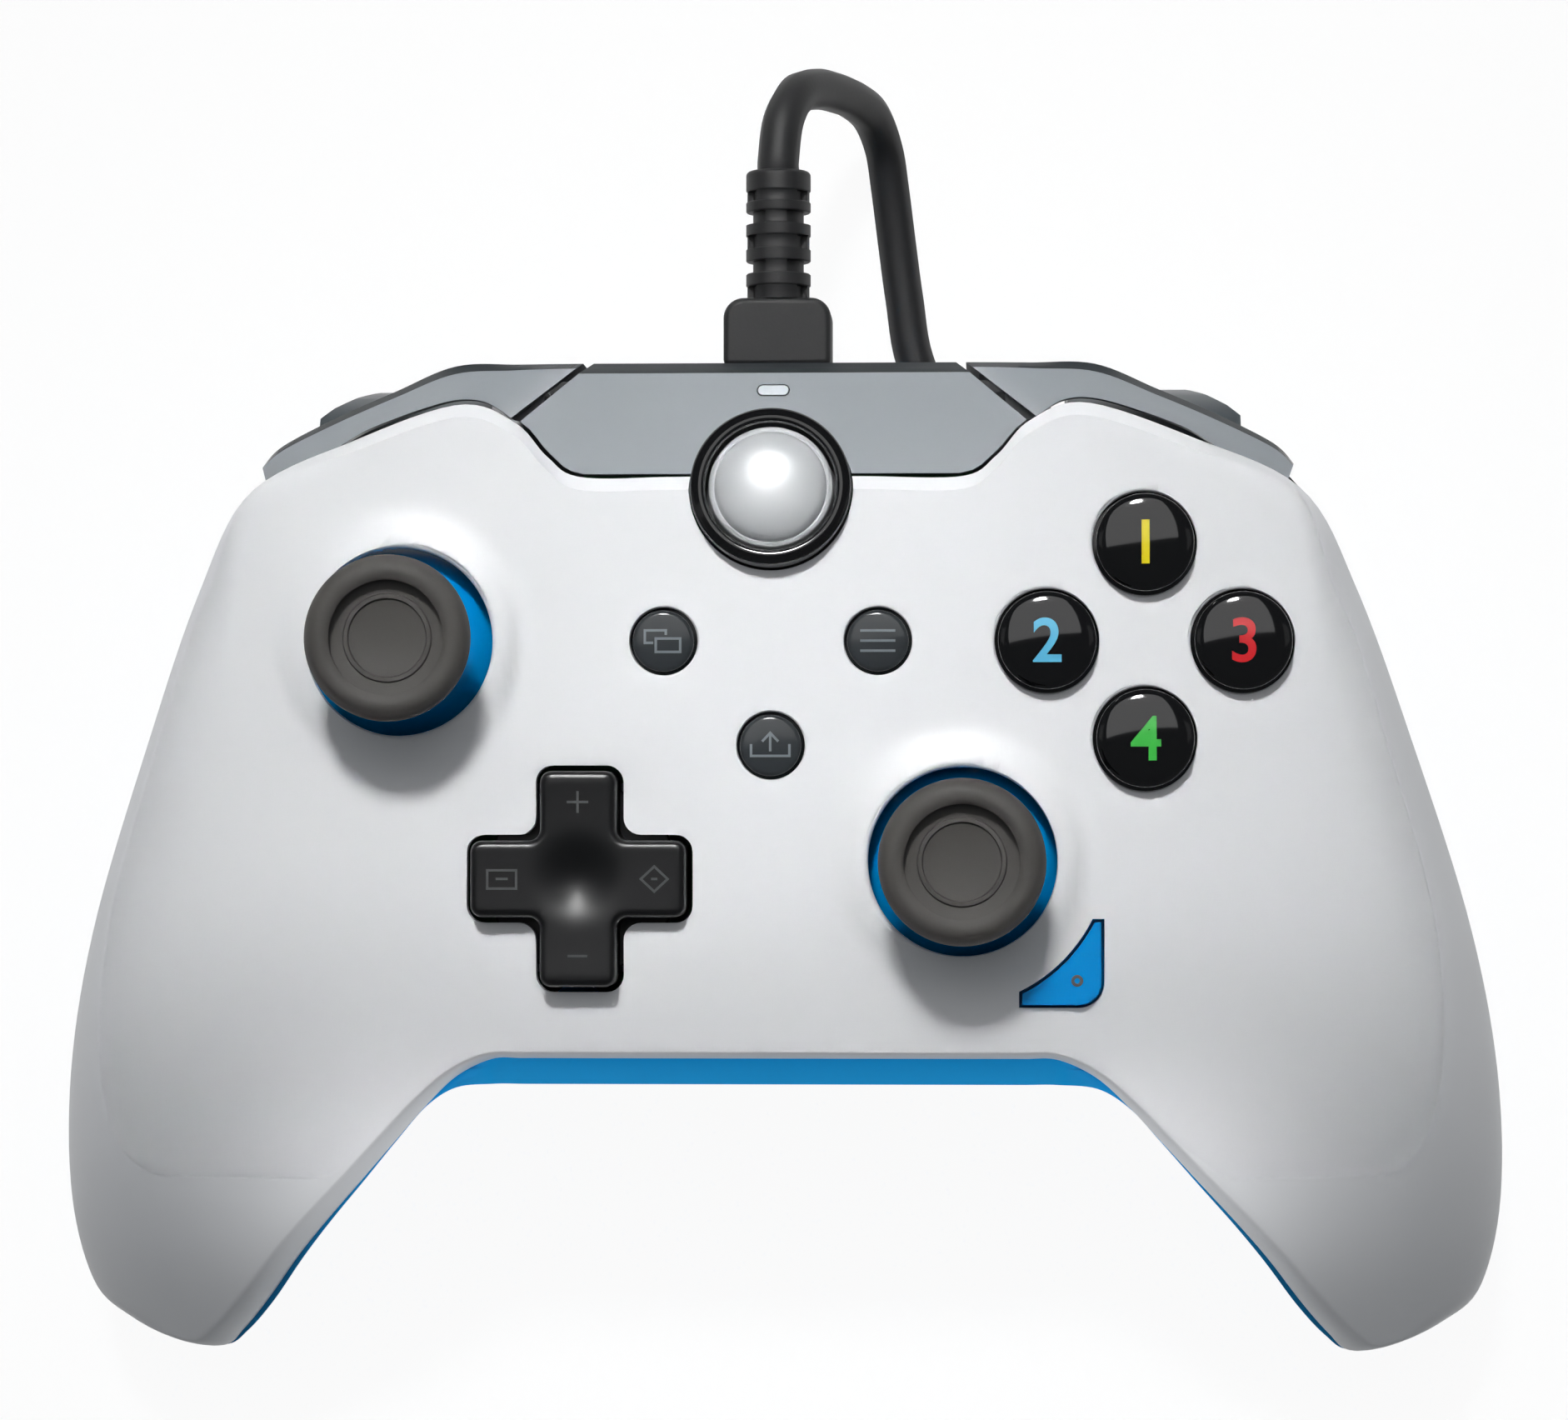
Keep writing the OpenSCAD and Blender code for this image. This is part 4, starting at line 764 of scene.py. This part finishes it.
def makeStrap():
    s = strapSet
    shape = bmesh.new()
    ring = [(s["rIn"], s["low"]), (s["rOut"], s["low"]), (s["rOut"], s["high"]), (s["rIn"], s["high"])]
    roundCorners(shape, shape.faces.new([shape.verts.new((r, 0, z)) for r, z in ring]), s["corner"])
    edges = list(shape.edges)
    bmesh.ops.delete(shape, geom=list(shape.faces), context="FACES_ONLY")
    made = bmesh.ops.extrude_edge_only(shape, edges=edges)["geom"]
    bmesh.ops.translate(shape, vec=(0, s["width"], 0), verts=vertsOf(made))
    bmesh.ops.translate(shape, vec=(0, -s["width"] / 2, 0), verts=shape.verts)
    bmesh.ops.recalc_face_normals(shape, faces=shape.faces)
    bmesh.ops.solidify(shape, geom=shape.faces, thickness=-s["thick"])
    for v in shape.verts:
        v.co.z = max(s["floor"], v.co.z)
    place = Matrix.Translation((*leadSet["coilAt"], 0)) @ Matrix.Rotation(math.radians(s["turnAt"]), 4, "Z")
    bmesh.ops.transform(shape, matrix=place, verts=shape.verts)
    return addPiece("coil_strap", shape, "strapBlack", "body")


reliefSet = {
    "from": 61.15, "r": 3.5, "core": 2.75, "edge": 0.12, "sink": 0.13, "top": 0.5, "skin": 0.02, "steps": 120,
    "slot": (42, 72), "sidesFrom": 21,  # degrees from the top, where a level is cut to the core
    "levels": [("slots", 1.45), ("ring", 1.4), ("sides", 1.3), ("ring", 1.4), ("slots", 1.3), ("ring", 1.4),
               ("sides", 1.25), ("ring", 1.15), ("slots", 1.1), ("ring", 2.25)],
}


def makeRelief():
    s = reliefSet
    r, edge, sunk, top = s["r"], s["edge"], s["r"] - s["sink"], s["top"]
    profile, cuts, z = [(0, 0)], [], 0
    for kind, high in s["levels"]:
        if kind == "ring":
            profile += [(r - edge, z), (r, z + edge), (r, z + high - edge), (r - edge, z + high)]
        else:
            cuts.append((kind, z, z + high))
            profile += [(sunk, z + s["skin"]), (sunk, z + high - s["skin"])]
        z += high
    profile[-2:] = [(r, z - top)] + arc(r - top, z - top, top, 15, 90, 5) + [(0, z)]
    shape = bmesh.new()
    turn(shape, profile, steps=s["steps"])
    for v in shape.verts:
        away = math.hypot(v.co.x, v.co.y)
        fromTop = math.degrees(math.atan2(abs(v.co.x), abs(v.co.y)))  # or from the underside
        for kind, low, high in cuts:
            opened = s["slot"][0] < fromTop < s["slot"][1] if kind == "slots" else fromTop > s["sidesFrom"]
            if low < v.co.z < high and away > s["core"] and opened:
                v.co.xy = v.co.xy * s["core"] / away
    place = Matrix.Translation((0, s["from"], leadSet["portZ"])) @ Matrix.Rotation(-math.pi / 2, 4, "X")
    bmesh.ops.transform(shape, matrix=place, verts=shape.verts)
    addPiece("ribbed_relief", shape, "leadRubber", "body", ["strain_relief"], sharp=30)


# sticks
capSet = {
    "r": 8.6, "rim": 1.7, "ringR": 4.3, "rise": 12, "drop": 12.5, "boreR": 1.65, "neckR": 2.7, "domeGap": 0.6,
    "domeT": 0.9, "holeR": 9.85, "holeLip": 0.55, "holeLow": 2.2, "steps": 128,
}


def makeStick(side, place):
    c = capSet
    pivot = at(*place, -c["drop"])
    top = c["drop"] + c["rise"]
    domeR = math.hypot(c["holeR"], c["drop"] - c["holeLow"]) - c["domeGap"]
    wallR = domeR - c["domeT"]
    r, rim, ring, bore, neck = c["r"], c["rim"], c["ringR"], c["boreR"], c["neckR"]
    body = side + "_stick"
    shape = bmesh.new()
    turn(shape, [
        (bore, domeR + 0.7), (neck, domeR + 0.7), (3.0, top - 5.2), (4.2, top - 4.5),
        (r - 1.4, top - 4.1), (r - 0.5, top - 3.4), *arc(r - rim, top - rim, rim, -25, 125, 14),
        (6.25, top - 1.15), (6.0, top - 1.5), (5.5, top - 1.62), (ring + 0.32, top - 1.7),
        (ring + 0.2, top - 1.45), (ring - 0.2, top - 1.45), (ring - 0.32, top - 1.75),
        (2.5, top - 1.95), (0, top - 2.05), (0, top - 3.1), (bore, top - 3.1), (bore, domeR + 0.7),
    ], pivot, c["steps"])
    addPiece(side + "_thumb_cap", shape, "thumbRubber", body, [side + "_stick_cap"], sharp=40)
    shape = bmesh.new()
    outer, inner = arc(0, 0, domeR, 28, 80, 26), arc(0, 0, wallR, 80, 28, 13)
    socket = [(neck, domeR), (neck, domeR + 0.6), (bore, domeR + 0.6), (bore, wallR)]
    turn(shape, outer + socket + inner + outer[:1], pivot, c["steps"])
    addPiece(side + "_blue_dome", shape, "blueGloss", body, [side + "_stick_dome"])


# cross pad
dpadSet = {
    "top": 2.2, "low": -4, "edge": 0.75, "dish": 0.95, "dishR": 5.2, "lift": 0.28, "cut": 0.75, "cuts": 14,
    "slack": 0.02,
}


def makeDpad():
    s = dpadSet
    half = crossSet["span"] / 2

    def bend(x, y):
        away = math.hypot(x, y)
        return s["lift"] * (away / half) ** 2 - s["dish"] * ease(1 - away / s["dishR"])

    shape = bmesh.new()
    faces = crossOutline(shape, -s["slack"], crossSet["corner"])
    bmesh.ops.translate(shape, vec=(0, 0, s["low"]), verts=shape.verts)
    lifted(shape, faces, s["top"] - s["low"])
    bmesh.ops.recalc_face_normals(shape, faces=shape.faces)
    rim = [e for e in shape.edges if all(v.co.z > s["top"] - 0.01 for v in e.verts)]
    bmesh.ops.bevel(shape, geom=rim, offset=s["edge"], offset_type="OFFSET", segments=4, profile=0.5,
                    affect="EDGES", material=-1, clamp_overlap=True)
    for axis in ((1, 0, 0), (0, 1, 0)):  # cross cuts, so that the top can be bent
        for i in range(-s["cuts"], s["cuts"] + 1):
            upper = [f for f in shape.faces if f.calc_center_median().z > s["top"] - 0.3 and f.normal.z > 0.9]
            geom = upper + list({e for f in upper for e in f.edges}) + list({v for f in upper for v in f.verts})
            spot = [v * i * s["cut"] for v in axis]
            bmesh.ops.bisect_plane(shape, geom=geom, dist=1e-4, plane_co=spot, plane_no=axis)
    for v in shape.verts:
        if v.co.z > s["top"] - 1:
            v.co.z += bend(v.co.x, v.co.y)
    turn(shape, [(0, -5.2), (9.9, -5.2), (10.1, -5), (10.1, -4.1), (9.9, -3.95), (0, -3.95)])
    bmesh.ops.transform(shape, matrix=at(*dpadAt), verts=shape.verts)
    addPiece("cross_pad", shape, "blackSatin", "dpad", ["dpad"], sharp=30)
    strokes = [stroke for name, marks in pictureSet.items() if name.startswith("pad") for stroke in marks]
    drawMark("cross_pad_marks", strokes, at(*dpadAt), lambda x, y: s["top"] + bend(x, y), "markBlack", "dpad")


# buttons and marks
buttonSet = {
    "middle": (39, 23.5), "pitch": 10.2, "r": 5.1, "rise": 2.6, "crown": 0.8, "stem": 2.5, "lip": 0.35,
    "small": {"view": (-11.2, 23.5), "menu": (11.2, 23.5), "share": (0, 12.6)},
    "smallR": 3.2, "smallRise": 0.9, "smallCrown": 0.3, "smallStem": 1.7, "smallLip": 0.25,
    "gap": 0.35, "brim": 0.14, "edge": 0.25, "footZ": 31.05,
    "flange": 0.8, "flangeLow": -4.8, "flangeTop": -3.2,
}
buttonX, buttonY = buttonSet["middle"]
faceButtons = {
    "top": (buttonX, buttonY + buttonSet["pitch"]), "left": (buttonX - buttonSet["pitch"], buttonY),
    "right": (buttonX + buttonSet["pitch"], buttonY), "bottom": (buttonX, buttonY - buttonSet["pitch"]),
}


def domeTop(r, rise, crown):
    reach = r - buttonSet["brim"]
    return lambda x, y: rise - crown + crown * math.sqrt(max(0, 1 - (math.hypot(x, y) / reach) ** 2))


def makeButton(name, place, r, rise, crown, stem, finish, slot):
    s = buttonSet
    foot, wide, shoulder = s["footZ"] - faceZ(*place), r + s["flange"], rise - crown
    profile = [(0, foot), (stem, foot), (stem, s["flangeLow"]), (wide, s["flangeLow"]), (wide, s["flangeTop"]),
               (r, s["flangeTop"]), (r, shoulder - 2 * s["edge"])]
    profile += arc(r - s["edge"], shoulder - s["edge"], s["edge"], 0, 60, 4)
    profile += crownArc(r - s["brim"], shoulder, rise, 18, 12)
    shape = bmesh.new()
    turn(shape, profile, at(*place))
    addPiece(name + "_dome", shape, finish, name + "_button", [name + "_button"], sharp=50)


markSet = {"size": 6.4, "bold": 0.1, "deep": 0.06, "proud": 0.03, "cut": 0.7, "cuts": 15, "line": 0.26}


def makeNumeral(name, text, place, finish):
    b = buttonSet
    font = bpy.data.curves.new("numeral", "FONT")
    font.body = text
    font.size = markSet["size"]
    font.offset = markSet["bold"]
    holder = bpy.data.objects.new("numeral", font)
    scene.collection.objects.link(holder)
    bpy.context.view_layer.update()
    shape = bmesh.new()
    shape.from_mesh(holder.to_mesh())
    bpy.data.objects.remove(holder)
    xs, ys = [v.co.x for v in shape.verts], [v.co.y for v in shape.verts]
    bmesh.ops.translate(shape, vec=(-(min(xs) + max(xs)) / 2, -(min(ys) + max(ys)) / 2, 0), verts=shape.verts)
    top = domeTop(b["r"], b["rise"], b["crown"])
    layMark(name + "_numeral", shape, at(*place), top, finish, name + "_button")


def layMark(name, shape, place, heightAt, finish, body):
    bmesh.ops.remove_doubles(shape, verts=shape.verts, dist=1e-4)
    for axis in ((1, 0, 0), (0, 1, 0)):
        for i in range(-markSet["cuts"], markSet["cuts"] + 1):
            geom = list(shape.verts) + list(shape.edges) + list(shape.faces)
            spot = [v * i * markSet["cut"] for v in axis]
            bmesh.ops.bisect_plane(shape, geom=geom, dist=1e-4, plane_co=spot, plane_no=axis)
    for v in shape.verts:
        v.co.z = heightAt(v.co.x, v.co.y) + markSet["proud"] - markSet["deep"]
    made = bmesh.ops.extrude_face_region(shape, geom=list(shape.faces), use_keep_orig=True)["geom"]
    bmesh.ops.translate(shape, vec=(0, 0, markSet["deep"]), verts=vertsOf(made))
    bmesh.ops.recalc_face_normals(shape, faces=shape.faces)
    bmesh.ops.transform(shape, matrix=place, verts=shape.verts)
    addPiece(name, shape, finish, body, face=False)


def addStroke(shape, points, width):
    for (x0, y0), (x1, y1) in zip(points, points[1:]):
        long = math.hypot(x1 - x0, y1 - y0) + width
        made = bmesh.ops.create_grid(shape, x_segments=1, y_segments=1, size=0.5)["verts"]
        bmesh.ops.scale(shape, vec=(long, width, 1), verts=made)
        bmesh.ops.rotate(shape, matrix=Matrix.Rotation(math.atan2(y1 - y0, x1 - x0), 3, "Z"), verts=made)
        bmesh.ops.translate(shape, vec=((x0 + x1) / 2, (y0 + y1) / 2, 0), verts=made)


pictureSet = {
    "view": [[(-1.9, -0.2), (-1.9, 1.1), (0.3, 1.1), (0.3, 0.75)], [(-1.9, -0.2), (-1.15, -0.2)],
             [(-0.75, -1.15), (-0.75, 0.25), (1.8, 0.25), (1.8, -1.15), (-0.75, -1.15)]],
    "menu": [[(-1.7, 1.05), (1.7, 1.05)], [(-1.7, 0), (1.7, 0)], [(-1.7, -1.05), (1.7, -1.05)]],
    "padTop": [[(-1, 8), (1, 8)], [(0, 7), (0, 9)]],
    "padBottom": [[(-0.9, -8), (0.9, -8)]],
    "padLeft": [[(-9.4, -1), (-9.4, 0.9), (-6.4, 0.9), (-6.4, -1), (-9.4, -1)], [(-8.4, 0), (-7.4, 0)]],
    "padRight": [[(6.6, 0), (8, 1.3), (9.4, 0), (8, -1.3), (6.6, 0)], [(7.8, 0), (8.2, 0)]],
    "share": [[(-2, 0), (-2, -1.1), (2, -1.1), (2, 0)], [(0, -0.5), (0, 1.2)],
              [(-0.75, 0.5), (0, 1.3), (0.75, 0.5)]],
}


def drawMark(name, strokes, place, heightAt, finish, body):
    shape = bmesh.new()
    for stroke in strokes:
        addStroke(shape, stroke, markSet["line"])
    layMark(name, shape, place, heightAt, finish, body)


def makeSmallButtons():
    b = buttonSet
    r, rise, crown = b["smallR"], b["smallRise"], b["smallCrown"]
    for name, place in b["small"].items():
        makeButton(name, place, r, rise, crown, b["smallStem"], "darkGloss", "trim_grey")
        top = domeTop(r, rise, crown)
        drawMark(name + "_mark", pictureSet[name], at(*place), top, "markSilver", name + "_button")


guideSet = {
    "at": (0, 39.6), "tilt": -10, "r": 6.5, "rise": 2, "ringR": 8.45, "gap": 0.35, "holeR": 8.6, "holeLip": 0.3,
    "footZ": 30.25, "stem": 2, "flange": 0.9, "steps": 128,
}


def guideFrame():
    return at(*guideSet["at"]) @ Matrix.Rotation(math.radians(guideSet["tilt"]), 4, "X")


def makeGuide():
    s = guideSet
    r, ring, inner, wide, stem = s["r"], s["ringR"], s["r"] + s["gap"], s["r"] + s["flange"], s["stem"]
    shape = bmesh.new()
    turn(shape, [
        (inner, -7), (ring, -7), (ring, 0.1), *arc(ring - 0.5, 0.3, 0.5, 0, 80, 6), (ring - 0.9, 0.95),
        (inner + 0.75, 0.85), *arc(inner + 0.5, 0.35, 0.5, 90, 180, 6), (inner, -7),
    ], guideFrame(), s["steps"])
    addPiece("dark_ring", shape, "blackGloss", "body", ["guide_ring"], sharp=40)
    shape = bmesh.new()
    foot = (s["footZ"] - faceZ(*s["at"])) / math.cos(math.radians(s["tilt"]))
    turn(shape, [
        (0, foot), (stem, foot), (stem, -8.4), (wide, -8.4), (wide, -7.4), (r, -7.4), (r, -0.1),
        (r - 0.15, 0.15), (r - 0.45, 0.2), (r - 0.55, 0.1), *crownArc(r - 0.62, 0.1, s["rise"], 0, 18),
    ], guideFrame(), s["steps"])
    addPiece("silver_dome", shape, "silverDome", "guide_button", ["guide_button"], sharp=50)


def makeFunctionButton():
    edge, angle = functionSet["edge"], functionSet["edgeAngle"]
    softened("function_button", "blueGloss", "function_button", edge, angle)
    shape = bmesh.new()
    place = Matrix.Translation((*functionSet["dotAt"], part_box("function_button")[1].z / mm))
    turn(shape, [
        (0, -0.05), (0.25, -0.05), (0.3, 0.03), (0.55, 0.05), (0.62, 0.03), (0.62, -0.1), (0, -0.1),
    ], place, functionSet["dotSteps"])
    addPiece("function_dot", shape, "markBlack", "function_button")


# panel and bumpers
# a section: front edge x and y, back edge x and y, how far the front and the back lie below the face
bumperSections = [
    (27.75, 47.4, 20.35, 53.4, 5.4, 7.6), (30.6, 49.1, 27, 53.4, 5.5, 8.2), (34.2, 49.3, 34, 53.3, 6.2, 8.8),
    (40.2, 47.6, 40.6, 50.7, 7.4, 9.6), (46.2, 45.3, 47, 48, 8.6, 10.4), (52.4, 42.8, 53, 45, 10, 11.2),
    (54.8, 41.8, 55.2, 42.8, 10.8, 11.5),
]
bumperSet = {
    "thick": 1.8, "rings": 48, "edge": 0.22, "backDrop": 0.7, "foot": 29.6, "footRise": 3, "footFrom": 47,
    "footOver": 6, "tuck": 1.1, "lip": 0.5, "lipRise": 0.5, "lipFrom": 43, "lipOver": 7,
    "pin": (27, 49.8), "pinR": 1.36, "hubR": 2.5, "hubLow": 23.6, "hubHigh": 37.4, "hubSteps": 48,
    "roundFrom": 18, "paintedShadeSides": (3, 4, 5),
}


def bumperRing(row, sign):
    s = bumperSet
    fx, fy, bx, by, front, back = row
    zf, zb = bodySet["faceH"] - front, bodySet["faceH"] - back
    away = math.hypot(bx - fx, by - fy)
    dx, dy = (bx - fx) / away, (by - fy) / away
    t = min(s["thick"], 0.45 * away)
    foot = s["foot"] + s["footRise"] * ease((fx - s["footFrom"]) / s["footOver"])
    outer = ease((fx - s["lipFrom"]) / s["lipOver"])  # the outer end is a thin lip under the white edge
    tuck, lip, rise = s["tuck"] * outer, mix(s["thick"], s["lip"], outer), s["lipRise"] * outer
    under = (fx, fy, zf + rise - lip)
    fx, fy, zf = fx - dx * tuck, fy - dy * tuck, zf + (zf - zb) / away * tuck + rise
    nx, ny = bx - dx * t, by - dy * t
    ring = [
        (fx, fy, zf - lip), under, (nx, ny, zb - s["thick"]), (nx, ny, foot), (bx, by, foot),
        (bx, by, zb - s["backDrop"]), (bx - dx * t / 2, by - dy * t / 2, zb), (fx, fy, zf),
    ]
    return [(sign * x, y, z) for x, y, z in ring]


def makeBumper(side):
    s = bumperSet
    sign = 1 if side == "right" else -1
    step = (len(bumperSections) - 1) / s["rings"]
    rings = [bumperRing(spline(bumperSections, i * step), sign) for i in range(s["rings"] + 1)]
    shape = bmesh.new()
    loft(shape, rings, s["paintedShadeSides"])  # the foot and the back, painted in the dark gloss as shade
    bmesh.ops.remove_doubles(shape, verts=shape.verts, dist=1e-3)
    bmesh.ops.recalc_face_normals(shape, faces=shape.faces)
    roundEdges(shape, s["edge"], s["roundFrom"])
    x, y = s["pin"]
    bore, hub, low, high = s["pinR"], s["hubR"], s["hubLow"], s["hubHigh"]
    hubProfile = [(bore, low), (hub, low), (hub, high), (bore, high), (bore, low)]
    turn(shape, hubProfile, Matrix.Translation((sign * x, y, 0)), s["hubSteps"])
    addPiece(side + "_bumper_moulding", shape, ["greyGloss", "darkGloss"], side + "_bumper",
             [side + "_bumper"], sharp=32, even=True)


panelSet = {"edge": 0.3, "paintedShadeFacing": 0.6}


def makePanel():
    shape = nodeShape("top_panel")
    roundEdges(shape, panelSet["edge"])
    shape.normal_update()
    # painted shade: faces turned to the back take a dark, dull finish in place of the grey, standing in for the
    # shade along that edge
    for face in shape.faces:
        face.material_index = int(face.normal.y > panelSet["paintedShadeFacing"])
    addPiece("top_panel_moulding", shape, ["greyGloss", "paintedShadeEdge"], "body", ["top_panel"],
             face=False, even=True)


softEdge = {"plug": 0.7, "trigger": 0.4, "lens": 0.12, "jack": 0.2}

addCamera()
addLamps()
addFloor()
print("camera, lamps and floor")
makeLead()
makeRelief()
softened("usb_plug", "leadRubber", "body", softEdge["plug"])
makeFrontShell()
makeRearShell()
makeLedge()
for side, place in (("left", leftStick), ("right", rightStick)):
    makeStick(side, place)
    makeBumper(side)
    softened(side + "_trigger", "triggerGrey", side + "_trigger", softEdge["trigger"])
print("sticks, bumpers and triggers")
makeDpad()
bigButton = [buttonSet[key] for key in ("r", "rise", "crown", "stem")]
for name, place in faceButtons.items():
    makeButton(name, place, *bigButton, "blackGloss", "gloss_black")
numeralFinish = ("yellowMark", "skyMark", "redMark", "greenMark")
for (name, place), text, finish in zip(faceButtons.items(), "1234", numeralFinish):
    makeNumeral(name, text, place, finish)
makeSmallButtons()
makeGuide()
makeFunctionButton()
print("cross pad and buttons")
makePanel()
softened("status_lens", "clearLens", "body", softEdge["lens"])
softened("headset_jack", "blackGloss", "body", softEdge["jack"])

# finishes of the nodes that keep their own mesh
nodeFinish = {
    "boardGreen": ["main_board"], "padSilicone": ["face_button_pad", "dpad_pad", "centre_button_pad"],
    "innerPlastic": ["tact_switches", "bumper_switches", "left_stick_base", "right_stick_base",
                     "left_stick_hub", "right_stick_hub", "left_trigger_bracket", "right_trigger_bracket",
                     "dpad_post"],
    "steel": ["usb_socket", "case_screws", "dpad_ball", "left_motor", "right_motor", "left_trigger_pin",
              "right_trigger_pin", "left_trigger_spring", "right_trigger_spring", "left_stick_ring",
              "right_stick_ring"],
    "brass": ["left_motor_weight", "right_motor_weight"],
    "blackGloss": ["left_stick_shaft", "right_stick_shaft"],
}
for finish, nodes in nodeFinish.items():
    for node in nodes:
        frame["nodes"][node].data.materials.clear()
        frame["nodes"][node].data.materials.append(finishes[finish].material)
print("finished pieces")
